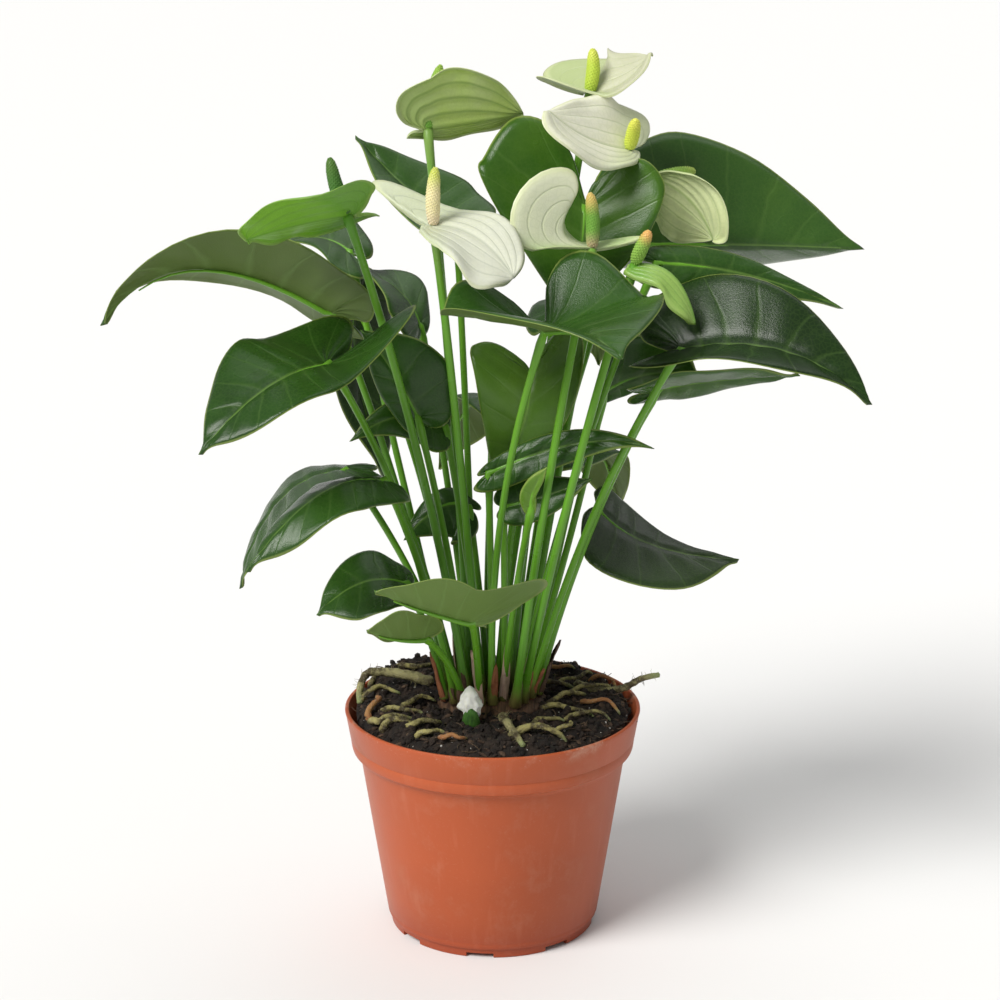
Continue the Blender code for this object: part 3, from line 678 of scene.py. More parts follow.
def spatheSkin(name, spec):
    # The hood of a flower: veined, with its own face and back colours.
    material, tree, shader = newMaterial(name, spec["face"], 0.38)
    under, edge = attribute(tree, "under"), attribute(tree, "edgeMm")
    run, sideMm = attribute(tree, "run"), attribute(tree, "sideMm")
    net = useEffect(tree, "net", Scale=360.0)
    veins = useEffect(tree, "veins", Width=spec["veinWidth"])
    color = blendColor(tree, under, spec["face"], spec["back"])
    color = blendColor(tree, ramp(tree, net["Mottle"], 0.3, 0.75, 0.0, 0.5), color, spec["second"])
    foot = ramp(tree, run, -0.1, spec["footReach"], spec["footShare"], 0.0)
    color = blendColor(tree, foot, color, spec["foot"])
    color = blendColor(tree, calc(tree, "MULTIPLY", veins["Lines"], spec["veinShare"]), color,
                       spec["vein"])
    color = blendColor(tree, calc(tree, "MULTIPLY", net["Net"], 0.10), color, spec["vein"])
    rib = calc(tree, "SUBTRACT", 1.0, calc(tree, "DIVIDE", sideMm, 0.9), clamp=True)
    color = blendColor(tree, calc(tree, "MULTIPLY", rib, 0.6), color, spec["vein"])
    color = blendColor(tree, ramp(tree, edge, 0.3, 1.0, 0.55, 0.0), color, spec["rim"])
    rough = ramp(tree, net["Mottle"], 0.2, 0.8, 0.28, 0.46)
    height = calc(tree, "MULTIPLY_ADD", veins["Lines"], -1.0, net["Grain"])
    finishSkin(tree, shader, color, rough, (height, 0.35, 0.0004),
               {"Subsurface Weight": 0.12, "Subsurface Radius": (0.002, 0.002, 0.001)})
    return material


# Leaves: blade, leaf stalk and the raised midrib beneath, in one piece each.

stemSize = {"start": soilSize["level"] + crownSize["height"] + 0.8, "petiole": 1.6,
            "stalk": 1.8, "knee": 0.07, "sunk": 1.2}
leafSize = {"thick": 0.5, "veinGap": 6.5, "puff": 0.010, "groove": 0.016, "ripple": 0.011,
            "roll": 0.6, "ribSteps": 12, "ribDrop": 0.35, "steps": 26, "sides": 12}


def stemLine(spec, end, radius, steps):
    foot = np.array([*spec["foot"], stemSize["start"]])
    lean = unit(end - foot)
    foot[2] += radius * math.hypot(lean[0], lean[1]) - stemSize["sunk"]
    rise = end - foot
    inwards = np.array([-rise[0], -rise[1], math.hypot(rise[0], rise[1])]) * stemSize["knee"]
    bow = np.array([*spec.get("bow", (0, 0)), 0.0])
    knee = (foot + end) / 2 + (inwards + bow) * 2
    return bezier(foot, knee, end, np.linspace(0, 1, steps + 1))


def buildLeaf(name, spec, skin, stem):
    blade = Blade(spec, leafMargin)
    size = blade.length
    blade.spec = {"veins": max(5, min(11, round(size / leafSize["veinGap"]))),
                  "puff": leafSize["puff"] * size, "groove": leafSize["groove"] * size,
                  "ripple": leafSize["ripple"] * size, "roll": leafSize["roll"], **spec}
    shape = Shape()
    bladeShape(shape, blade, leafSize["thick"], tone=spec["tone"], grey=spec["grey"])
    along = blade.axes(0.0)[1]
    line = stemLine(spec, blade.base - along * 0.5, stemSize["petiole"],
                    leafSize["steps"])
    shares = np.linspace(0, 1, len(line))
    knob = 0.32 * np.exp(-((shares - 0.95) / 0.028) ** 2)
    radii = stemSize["petiole"] * (0.86 + 0.75 * np.exp(-shares / 0.035) + knob)
    ribShare = np.linspace(0.03, 0.8, leafSize["ribSteps"])
    middle, _, _, up = blade.axes(ribShare)
    ribLine = middle - up * (leafSize["ribDrop"] + leafSize["groove"] * size)
    line = np.vstack([line, ribLine])
    radii = np.concatenate([radii, np.linspace(1.05, 0.3, len(ribShare))])
    shape.rod(line, radii, leafSize["sides"], slot=1, tone=spec["tone"])
    leaf = shape.build(name.replace("leaf", "foliage"), [skin, stem])
    place(leaf, "leaf", name)


skin = leafSkin()
stem = stalkSkin("leafStalkSkin", (0.085, 0.24, 0.014), (0.12, 0.31, 0.018), (0.14, 0.33, 0.024))
for name, spec in leafSpecs.items():
    buildLeaf(name, spec, skin, stem)
print("leaves built:", len(leafSpecs))


# Flowers: a stalk, the hood and the spadix with its florets.

white = dict(face=(0.66, 0.67, 0.49), back=(0.62, 0.64, 0.46), second=(0.70, 0.71, 0.56),
             foot=(0.34, 0.46, 0.14), footReach=0.22, footShare=0.6, vein=(0.38, 0.45, 0.22),
             veinShare=0.38, veinWidth=0.08, rim=(0.62, 0.66, 0.38))
pale = dict(white, face=(0.48, 0.56, 0.27), back=(0.36, 0.48, 0.16), second=(0.54, 0.60, 0.36),
            vein=(0.22, 0.36, 0.08), rim=(0.56, 0.62, 0.34))
green = dict(white, face=(0.18, 0.50, 0.012), back=(0.20, 0.46, 0.03), second=(0.24, 0.52, 0.04),
             foot=(0.10, 0.30, 0.02), vein=(0.08, 0.24, 0.02), rim=(0.34, 0.50, 0.12))
hoodLooks = {
    "flower_1": green,
    "flower_2": dict(pale, face=(0.42, 0.55, 0.17), back=(0.42, 0.58, 0.11), veinWidth=0.11,
                     veinShare=0.6),
    "flower_3": dict(white, face=(0.62, 0.64, 0.52), back=(0.62, 0.64, 0.52), footShare=0.3,
                     vein=(0.36, 0.40, 0.30)),
    # Painted shade: this white hood's face is darker than the other white hoods to tone down the
    # full key light on it.
    "flower_4": dict(white, face=(0.47, 0.48, 0.33), second=(0.53, 0.54, 0.40)),
    # Painted light: this white hood's face is lighter than the other white hoods to make up for
    # the shade it sits in.
    "flower_5": dict(white, face=(0.80, 0.81, 0.62), second=(0.84, 0.84, 0.70),
                     footShare=0.4),
    "flower_6": dict(pale, face=(0.64, 0.70, 0.36), back=(0.64, 0.70, 0.36)),
    "flower_7": dict(white, face=(0.76, 0.80, 0.56), back=(0.78, 0.81, 0.60), footReach=0.3,
                     foot=(0.30, 0.50, 0.10)),
    "flower_8": dict(green, face=(0.26, 0.42, 0.09), back=(0.30, 0.46, 0.11),
                     second=(0.34, 0.48, 0.14)),
}
spadixLooks = {  # base, middle and tip colours
    "flower_1": ((0.05, 0.14, 0.015), (0.06, 0.17, 0.02), (0.08, 0.18, 0.02)),
    "flower_2": ((0.14, 0.34, 0.03), (0.20, 0.42, 0.04), (0.30, 0.46, 0.06)),
    "flower_3": ((0.82, 0.66, 0.50), (0.82, 0.72, 0.40), (0.56, 0.62, 0.08)),
    "flower_4": ((0.42, 0.58, 0.06), (0.48, 0.62, 0.06), (0.62, 0.66, 0.10)),
    "flower_5": ((0.50, 0.60, 0.08), (0.56, 0.64, 0.07), (0.66, 0.66, 0.10)),
    "flower_6": ((0.20, 0.38, 0.05), (0.24, 0.42, 0.05), (0.40, 0.50, 0.10)),
    "flower_7": ((0.50, 0.36, 0.22), (0.16, 0.36, 0.04), (0.72, 0.50, 0.16)),
    "flower_8": ((0.22, 0.40, 0.06), (0.26, 0.46, 0.07), (0.80, 0.42, 0.14)),
}
slotOf = {"white": "spathe_white", "pale": "spathe_pale", "green": "spathe_green"}
hoodSize = {"thick": 0.6, "veins": 4, "puff": 0.005, "groove": 0.012, "ripple": 0.020,
            "roll": 1.1, "around": 46, "out": 20}
spadixSize = {"radius": 2.7, "steps": 15, "sides": 20, "bend": 0.8, "inset": 0.12}
floretSize = {"count": 380, "over": 24, "size": 0.36, "turn": 2.39996, "flat": 0.75}


def spadixSkin(name, colors):
    material, tree, shader = newMaterial(name, colors[1], 0.5)
    share = attribute(tree, "share")
    grain = useEffect(tree, "net", Scale=1400.0)
    color = blendColor(tree, ramp(tree, share, 0.0, 0.35), colors[0], colors[1])
    color = blendColor(tree, ramp(tree, share, 0.55, 0.95), color, colors[2])
    speck = calc(tree, "MULTIPLY", grain["Net"], 0.3)
    color = blendColor(tree, speck, color, tuple(min(1, c * 1.5 + 0.05) for c in colors[1]))
    rough = ramp(tree, grain["Grain"], 0.3, 0.7, 0.4, 0.62)
    finishSkin(tree, shader, color, rough, (grain["Grain"], 0.2, 0.0002),
               {"Subsurface Weight": 0.1, "Subsurface Radius": (0.001, 0.001, 0.0006)})
    return material


def floretTree():
    # Sets small domes along a curve in a close spiral, each at the spadix's own radius.
    tree, src, out = newGeometryTree("floretSpiral", {
        "Axis": "Geometry", "Count": "Int", "Dome": "Float", "Turn": "Float", "Flat": "Float",
        "Skin": "Material"}, "Florets")
    curve = addNode(tree, "GeometryNodeMeshToCurve", {"Mesh": src["Axis"]}).outputs[0]
    thick = addNode(tree, "GeometryNodeInputNamedAttribute", {"Name": "thick"},
                    data_type="FLOAT").outputs[0]
    rows = addNode(tree, "GeometryNodeMeshLine", {"Count": src["Count"]}).outputs[0]
    index = addNode(tree, "GeometryNodeInputIndex").outputs[0]
    factor = calc(tree, "DIVIDE", calc(tree, "ADD", index, 0.5), src["Count"])
    factor = calc(tree, "POWER", factor, 0.93)
    probe = addNode(tree, "GeometryNodeSampleCurve", {"Curves": curve, "Value": thick,
                                                      "Factor": factor},
                    mode="FACTOR", use_all_curves=True)
    angle = calc(tree, "MULTIPLY", index, src["Turn"])
    turned = addNode(tree, "ShaderNodeVectorRotate", {
        "Vector": probe.outputs["Normal"], "Axis": probe.outputs["Tangent"], "Angle": angle},
        rotation_type="AXIS_ANGLE").outputs[0]
    reach = addNode(tree, "ShaderNodeVectorMath", {0: turned, "Scale": probe.outputs["Value"]},
                    operation="SCALE").outputs[0]
    spot = addNode(tree, "ShaderNodeVectorMath", {0: probe.outputs["Position"], 1: reach},
                   operation="ADD").outputs[0]
    moved = addNode(tree, "GeometryNodeSetPosition", {"Geometry": rows, "Position": spot})
    dome = addNode(tree, "GeometryNodeMeshIcoSphere", {"Radius": src["Dome"],
                                                       "Subdivisions": 1}).outputs[0]
    facing = addNode(tree, "FunctionNodeAlignRotationToVector", {"Vector": turned},
                     axis="Z").outputs[0]
    squash = addNode(tree, "ShaderNodeCombineXYZ", {0: 1.0, 1: 1.0, 2: src["Flat"]}).outputs[0]
    share = addNode(tree, "GeometryNodeStoreNamedAttribute", {
        "Geometry": moved.outputs[0], "Name": "share", "Value": factor}, data_type="FLOAT",
        domain="POINT").outputs[0]
    domes = addNode(tree, "GeometryNodeInstanceOnPoints", {
        "Points": share, "Instance": dome, "Rotation": facing, "Scale": squash}).outputs[0]
    real = addNode(tree, "GeometryNodeRealizeInstances", {"Geometry": domes}).outputs[0]
    smooth = addNode(tree, "GeometryNodeSetShadeSmooth", {"Geometry": real}).outputs[0]
    done = addNode(tree, "GeometryNodeSetMaterial", {"Geometry": smooth,
                                                     "Material": src["Skin"]}).outputs[0]
    tree.links.new(done, out.inputs[0])
    return tree


def grow(name, mesh, tree, inputs):
    # Runs a node tree on a mesh and hands back the result as a plain object.
    host = addObject(name, mesh)
    modifier = host.modifiers.new("grow", "NODES")
    modifier.node_group = tree
    for item in tree.interface.items_tree:
        if item.in_out == "INPUT" and item.name in inputs:
            modifier[item.identifier] = inputs[item.name]
    host.update_tag()
    depsgraph = bpy.context.evaluated_depsgraph_get()
    plain = bpy.data.meshes.new_from_object(host.evaluated_get(depsgraph), depsgraph=depsgraph)
    host.modifiers.clear()
    host.data = plain
    plain.name = name
    return host


florets = floretTree()


def buildFlower(name, spec):
    number = name[-1]
    blade = Blade(spec, spatheMargin)
    size = blade.length
    blade.spec = {"veins": hoodSize["veins"], "lengthwise": True, "puff": hoodSize["puff"] * size,
                  "groove": hoodSize["groove"] * size, "ripple": hoodSize["ripple"] * size,
                  "roll": hoodSize["roll"], **spec}
    shape = Shape()
    bladeShape(shape, blade, hoodSize["thick"], hoodSize["around"], hoodSize["out"])
    hood = shape.build("hood_" + number, [spatheSkin("hoodSkin" + number, hoodLooks[name])])
    place(hood, slotOf[spec["shade"]], name + "_spathe")

    middle, _, _, up = blade.axes(0.0)
    line = stemLine(spec, middle - up * 0.6, stemSize["stalk"], 34)
    shares = np.linspace(0, 1, len(line))
    radii = stemSize["stalk"] * (0.88 + 0.6 * np.exp(-shares / 0.03)
                                 + 0.25 * np.exp(-((1 - shares) / 0.05) ** 2))
    shape = Shape()
    shape.rod(line, radii, 14)
    tip = tuple(0.5 * a + 0.5 * b for a, b in zip((0.10, 0.26, 0.03), hoodLooks[name]["foot"]))
    skin = stalkSkin("stalkSkin" + number, (0.075, 0.22, 0.014), (0.12, 0.31, 0.020), tip)
    stalk = shape.build("stalk_" + number, [skin])
    place(stalk, "flower_stalk", name + "_stalk")

    end = np.array(spec["spadix"], float)
    start = middle + unit(end - middle) * 0.6
    shares = np.linspace(0, 1, spadixSize["steps"])
    bend = unit(np.cross(end - start, up)) * spadixSize["bend"]
    line = start + np.outer(shares, end - start) + np.outer(np.sin(shares * math.pi), bend)
    profile = np.interp(shares, (0, .08, .2, .5, .8, .93, 1), (.7, .85, .97, 1, .84, .6, .25))
    radii = spadixSize["radius"] * profile
    shape = Shape()
    shape.rod(line, radii - spadixSize["inset"], spadixSize["sides"])
    skin = spadixSkin("spadixSkin" + number, spadixLooks[name])
    core = shape.build("spadixCore_" + number, [skin])
    place(core, "spadix", name + "_spadix")
    axis = bpy.data.meshes.new("axis")
    axis.from_pydata((line * mm).tolist(), [(i, i + 1) for i in range(len(line) - 1)], [])
    thick = axis.attributes.new("thick", "FLOAT", "POINT")
    thick.data.foreach_set("value", (radii - 0.1) * mm)
    count = int(floretSize["count"] * np.linalg.norm(end - start) / floretSize["over"])
    domes = grow("florets_" + number, axis, florets, {
        "Count": count, "Dome": floretSize["size"] * mm, "Turn": floretSize["turn"],
        "Flat": floretSize["flat"], "Skin": skin})
    place(domes, "spadix")


for name, spec in flowerSpecs.items():
    buildFlower(name, spec)
print("flowers built:", len(flowerSpecs))


# The nursery pot: a turned wall with a rolled rim, band, groove and notched foot.

def potSkin():
    material, tree, shader = newMaterial("potSkin", potSize["clay"], 0.45)
    height = addNode(tree, "ShaderNodeSeparateXYZ", {0: objectPlace(tree)}).outputs[2]
    dust = useEffect(tree, "dust", Amount=0.8)
    slow = objectNoise(tree, 14.0, 4.0)
    color = blendColor(tree, ramp(tree, slow, 0.3, 0.7), potSize["clay"],
                       tuple(c * 0.86 for c in potSize["clay"]))
    # Darker towards the bottom: over the lowest 20 mm the clay blends to the deep colour.
    low = ramp(tree, height, 0.0, 0.02, 0.7, 0.0)
    color = blendColor(tree, low, color, potSize["deep"])
    color = blendColor(tree, calc(tree, "MULTIPLY", dust["Scuff"], 0.05), color,
                       (0.78, 0.36, 0.24))
    rimDust = calc(tree, "MULTIPLY", ramp(tree, height, 0.086, 0.0925), 0.5)
    amount = calc(tree, "MULTIPLY", dust["Dust"], calc(tree, "ADD", 0.10, rimDust))
    color = blendColor(tree, amount, color, (0.66, 0.50, 0.38))
    rough = calc(tree, "MULTIPLY_ADD", dust["Dust"], 0.2, 0.40)
    fine = objectNoise(tree, 1800.0, 2.0)
    relief = calc(tree, "ADD", fine, calc(tree, "MULTIPLY", slow, 2.0))
    finishSkin(tree, shader, color, rough, (relief, 0.12, 0.0004),
               {"Specular IOR Level": 0.28, "Subsurface Weight": 0.05,
                "Subsurface Radius": (0.003, 0.001, 0.0006)})
    return material


def buildPot():
    # Radius and height of the wall's outline, from the inner floor out and back in.
    outline = [(4, 4.5), (4, 3), (39.4, 3), (39.9, 2.6), (40.1, 0.3), (40.5, 0), (41.6, 0),
               (42.0, 0.4), (42.2, 3.4), (42.5, 3.9), (43.15, 4.1), (43.4, 4.8), (43.55, 5.8),
               (43.5, 6.3), (43.75, 6.9), (48.9, 40.0), (53.9, 72.5), (54.3, 73.9), (54.7, 74.5),
               (56.4, 75.5), (57.1, 76.0), (57.35, 76.8), (57.75, 79.6), (57.6, 80.0),
               (57.62, 80.5), (57.95, 80.9), (59.6, 90.4), (59.95, 91.6), (59.9, 92.1),
               (59.5, 92.45), (59.0, 92.5), (58.5, 92.3), (58.25, 91.8), (55.9, 76.4),
               (55.2, 75.4), (52.9, 73.9), (41.8, 5.2), (41.2, 4.6)]
    sides = potSize["sides"]
    angle = np.arange(sides) / sides * math.tau
    verts, faces = [], []
    for r, z in outline:
        verts.extend(np.stack([r * np.cos(angle), r * np.sin(angle), np.full(sides, z)], 1) * mm)
    for i in range(len(outline)):
        k = (i + 1) % len(outline)
        for j in range(sides):
            n = (j + 1) % sides
            faces.append((i * sides + j, i * sides + n, k * sides + n, k * sides + j))
    mesh = bpy.data.meshes.new("pot")
    mesh.from_pydata([tuple(v) for v in verts], [], faces)
    mesh.update()
    pot = addObject("nurseryPot", mesh)
    gaps = bpy.data.meshes.new("gaps")
    corners, boxes = [], []
    for i in range(potSize["notches"]):
        turn = math.radians(potSize["notchTurn"] + i * 360 / potSize["notches"])
        ax = np.array([math.cos(turn), math.sin(turn)])
        ay = np.array([-math.sin(turn), math.cos(turn)])
        start = len(corners)
        for z in (-1.0, 2.0):
            for a, b in ((35, -1), (47, -1), (47, 1), (35, 1)):
                p = ax * a + ay * b * potSize["notchWidth"] / 2
                corners.append((p[0] * mm, p[1] * mm, z * mm))
        boxes += [tuple(start + q for q in f) for f in
                  ((3, 2, 1, 0), (4, 5, 6, 7), (0, 1, 5, 4), (1, 2, 6, 5), (2, 3, 7, 6),
                   (3, 0, 4, 7))]
    gaps.from_pydata(corners, [], boxes)
    cutter = addObject("gaps", gaps)
    cut = pot.modifiers.new("gaps", "BOOLEAN")
    cut.operation, cut.solver, cut.object = "DIFFERENCE", "EXACT", cutter
    depsgraph = bpy.context.evaluated_depsgraph_get()
    plain = bpy.data.meshes.new_from_object(pot.evaluated_get(depsgraph), depsgraph=depsgraph)
    pot.modifiers.clear()
    bpy.data.objects.remove(cutter)
    pot.data = plain
    plain.materials.clear()
    plain.materials.append(potSkin())
    plain.shade_smooth()
    plain.set_sharp_from_angle(angle=math.radians(potSize["sharp"]))
    place(pot, "pot_plastic", "pot")


buildPot()
print("pot built")


# Potting soil with crumbs, bark, fibres and white grit on it.

def soilSkin(name, dark, light, rough=0.95):
    material, tree, shader = newMaterial(name, dark, rough)
    big = objectNoise(tree, 130.0, 5.0, 0.65)
    fine = objectNoise(tree, 1300.0, 3.0, 0.7)
    color = blendColor(tree, ramp(tree, big, 0.38, 0.68), dark, light)
    color = blendColor(tree, ramp(tree, fine, 0.60, 0.72, 0.0, 0.5), color,
                       tuple(c * 2.2 for c in light))
    matt = ramp(tree, fine, 0.3, 0.7, rough - 0.15, rough)
    finishSkin(tree, shader, color, matt, (calc(tree, "ADD", fine, big), 0.9, 0.0012))
    return material


def soilHeight(x, y):
    x, y = np.asarray(x, float), np.asarray(y, float)
    heap = 4.0 * np.exp(-((x + 30) / 20) ** 2 - ((y - 20) / 20) ** 2)
    lumps = 0.6 * np.sin(x * 0.21 + 1.0) * np.sin(y * 0.19)
    fall = 5.5 * np.clip((np.hypot(x, y) - 26.0) / 30.0, 0, 1) ** 1.5
    away = np.hypot(x - crownSize["x"], y - crownSize["y"]) - crownSize["radius"] - 1.0
    return soilSize["level"] + np.clip(away / 7.0, 0, 1) * (heap + lumps) - fall


def soilHeap(r, back):
    # Loose soil piled near the rim, higher at the back.
    return 4.8 * np.exp(-((r - 49) / 7) ** 2) * (0.78 + 0.22 * back)


def buildSoil():
    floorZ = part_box("soil")[0][2] / mm
    rings, around, edge = soilSize["rings"], soilSize["around"], soilSize["edge"]
    angle = np.arange(around) / around * math.tau
    verts = [(0.0, 0.0, float(soilHeight(0.0, 0.0)))]
    for i in range(1, rings + 1):
        r = edge * i / rings
        for a in angle:
            x, y = r * math.cos(a), r * math.sin(a)
            z = float(soilHeight(x, y))
            rough = noise.noise(Vector((x, y, 3)) * 0.13) * 3.0
            rough += noise.noise(Vector((x, y, 9)) * 0.36) * 2.2
            rough += noise.noise(Vector((x, y, 5)) * 0.95) * 1.1
            z += float(soilHeap(r, math.sin(a)))
            verts.append((x, y, z + rough * min(1.0, (rings - i) / 3 + 0.35)))
    faces, rim = discFaces(rings, around)
    topCount, start, foot = len(faces), len(verts), soilSize["foot"]
    verts += [(foot * math.cos(a), foot * math.sin(a), floorZ) for a in angle]
    faces += [(rim + j, start + j, start + (j + 1) % around, rim + (j + 1) % around)
              for j in range(around)]
    verts.append((0.0, 0.0, floorZ))
    faces += [(len(verts) - 1, start + (j + 1) % around, start + j) for j in range(around)]
    mesh = bpy.data.meshes.new("soil")
    mesh.from_pydata([tuple(c * mm for c in v) for v in verts], [], faces)
    mesh.materials.append(soilSkin("soilSkin", (0.007, 0.004, 0.0025), (0.030, 0.017, 0.010)))
    mesh.polygons.foreach_set("use_smooth", [True] * len(faces))
    place(addObject("pottingSoil", mesh), "potting_soil", "soil")
    surface = bpy.data.meshes.new("surface")
    surface.from_pydata([tuple(c * mm for c in v) for v in verts[:start]], [], faces[:topCount])
    return surface


def scatterTree():
    # Drops copies of a chip on a surface, each turned, tipped and sized at random.
    tree, src, out = newGeometryTree("scatterOnSoil", {
        "Surface": "Geometry", "Chip": "Object", "Density": "Float", "Smallest": "Float",
        "Largest": "Float", "Tip": "Float", "Seed": "Int", "Skin": "Material"}, "Chips")

    def drawn(low, high, seed):
        values = {2: low, 3: high, "Seed": seed}
        return addNode(tree, "FunctionNodeRandomValue", values, data_type="FLOAT").outputs[1]

    spots = addNode(tree, "GeometryNodeDistributePointsOnFaces", {
        "Mesh": src["Surface"], "Density": src["Density"], "Seed": src["Seed"]}).outputs[0]
    chip = addNode(tree, "GeometryNodeObjectInfo", {"Object": src["Chip"]}).outputs["Geometry"]
    size = drawn(src["Smallest"], src["Largest"], src["Seed"])
    lowTip = calc(tree, "MULTIPLY", src["Tip"], -1.0)
    angles = addNode(tree, "ShaderNodeCombineXYZ", {
        0: drawn(lowTip, src["Tip"], 5), 1: drawn(lowTip, src["Tip"], 8),
        2: drawn(0.0, math.tau, 3)}).outputs[0]
    chips = addNode(tree, "GeometryNodeInstanceOnPoints", {
        "Points": spots, "Instance": chip, "Rotation": angles, "Scale": size}).outputs[0]
    real = addNode(tree, "GeometryNodeRealizeInstances", {"Geometry": chips}).outputs[0]
    done = addNode(tree, "GeometryNodeSetMaterial", {"Geometry": real,
                                                     "Material": src["Skin"]}).outputs[0]
    tree.links.new(done, out.inputs[0])
    return tree


def crumbMesh(seed, stretch):
    bm = bmesh.new()
    bmesh.ops.create_icosphere(bm, subdivisions=1, radius=0.5)
    for v in bm.verts:
        bump = 1 + 0.45 * noise.noise(v.co * 2.2 + Vector((seed, 0, 0)))
        v.co = Vector((v.co.x * stretch[0], v.co.y * stretch[1], v.co.z * stretch[2])) * bump
    mesh = bpy.data.meshes.new("crumb")
    bm.to_mesh(mesh)
    bm.free()
    return mesh


def fibreMesh(seed):
    s = np.linspace(-1, 1, 9)
    line = np.stack([s, 0.22 * np.sin(s * 2.6 + seed), 0.12 * np.cos(s * 3 + seed)], 1)
    verts, faces, _, _ = sweep(line, np.full(9, 0.035), 5)
    mesh = bpy.data.meshes.new("fibre")
    mesh.from_pydata(verts.tolist(), [], faces)
    return mesh


chips = [  # name, mesh, pieces per square metre, smallest and largest in mm, tip, seed, colours
    ("crumbs", crumbMesh(1, (1, 0.8, 0.7)), 190000, 0.9, 4.2, 1.5, 4,
     (0.007, 0.004, 0.0025), (0.032, 0.018, 0.010)),
    ("barkBits", crumbMesh(5, (1.3, 0.7, 0.35)), 26000, 2.0, 5.0, 0.7, 11,
     (0.030, 0.016, 0.009), (0.12, 0.070, 0.040)),
    ("whiteGrit", crumbMesh(9, (1, 0.85, 0.8)), 16000, 0.5, 1.3, 1.5, 21,
     (0.42, 0.40, 0.36), (0.62, 0.60, 0.55)),
    ("fibres", fibreMesh(2), 30000, 1.5, 5.5, 0.35, 31, (0.05, 0.030, 0.016),
     (0.17, 0.11, 0.065)),
]


def buildChips(surface):
    tree = scatterTree()
    for name, mesh, density, smallest, largest, tip, seed, dark, light in chips:
        chip = addObject(name + "Chip", mesh)
        piece = grow(name, surface.copy(), tree, {
            "Chip": chip, "Density": float(density), "Smallest": smallest * mm,
            "Largest": largest * mm, "Tip": tip, "Seed": seed,
            "Skin": soilSkin(name + "Skin", dark, light, 0.9)})
        bpy.data.objects.remove(chip)
        place(piece, "potting_soil")


buildChips(buildSoil())
print("soil built")


# Crown: a knobbly base with a sheath or papery scale at each stem foot, and a rolled hood.

sheathSize = {"tall": 10, "taller": 13, "wide": 2.3, "wider": 0.9, "paper": 1.35, "wall": 0.18}
rolledSize = {"radius": 4.4, "steps": 22, "sides": 40, "wobble": 0.32}


def paperSkin(name, dark, light):
    material, tree, shader = newMaterial(name, dark, 0.7)
    streak = stretchedNoise(tree, grainPlace(tree), (34.0, 0.12, 1.0), 4.0)
    patch = objectNoise(tree, 220.0, 4.0)
    color = blendColor(tree, ramp(tree, streak, 0.35, 0.7), dark, light)
    color = blendColor(tree, ramp(tree, patch, 0.5, 0.75, 0.0, 0.6), color,
                       tuple(c * 0.5 for c in dark))
    rough = ramp(tree, patch, 0.3, 0.7, 0.55, 0.85)
    finishSkin(tree, shader, color, rough, (calc(tree, "ADD", streak, patch), 0.6, 0.0006))
    return material


def sheathShape(shape, foot, lean, height, width, curl, slot):
    # A pointed scale that wraps round a stem foot.
    rows, cols = 9, 8
    foot, lean = np.array(foot, float), unit(lean)
    out = unit(np.array([foot[0] - crownSize["x"], foot[1] - crownSize["y"], 0.001]))
    side = unit(np.cross(lean, out))
    verts, faces, uvs = [], [], []
    for layer in (1, -1):
        for i in range(rows + 1):
            s = i / rows
            half = width * (1 - s) ** 0.6 * (0.75 + 0.5 * s)
            for j in range(cols + 1):
                a = (j / cols - 0.5) * 2 * 1.25
                p = (foot + lean * height * s + side * math.sin(a) * half
                     + out * (math.cos(a) * half * 0.8 + curl * s * s * height * 0.3
                              + 0.3 * math.sin(9 * s + 3 * a)))
                verts.append(p + out * sheathSize["wall"] * layer)
    n, w = (rows + 1) * (cols + 1), cols + 1
    for i in range(rows):
        for j in range(cols):
            a = i * w + j
            quad = (a, a + 1, a + w + 1, a + w)
            uv = [((j + q) / cols, (i + r) / rows * height) for q, r in ((0, 0), (1, 0), (1, 1),
                                                                          (0, 1))]
            faces += [quad, tuple(v + n for v in reversed(quad))]
            uvs += [uv, uv[::-1]]
    ringIds = (list(range(w)) + [i * w + cols for i in range(1, rows + 1)]
               + [rows * w + j for j in range(cols - 1, -1, -1)]
               + [i * w for i in range(rows - 1, 0, -1)])
    for a, b in zip(ringIds, ringIds[1:] + ringIds[:1]):
        faces.append((b, a, a + n, b + n))
        uvs.append([(0, 0)] * 4)
    shape.add(verts, faces, uvs, slot)


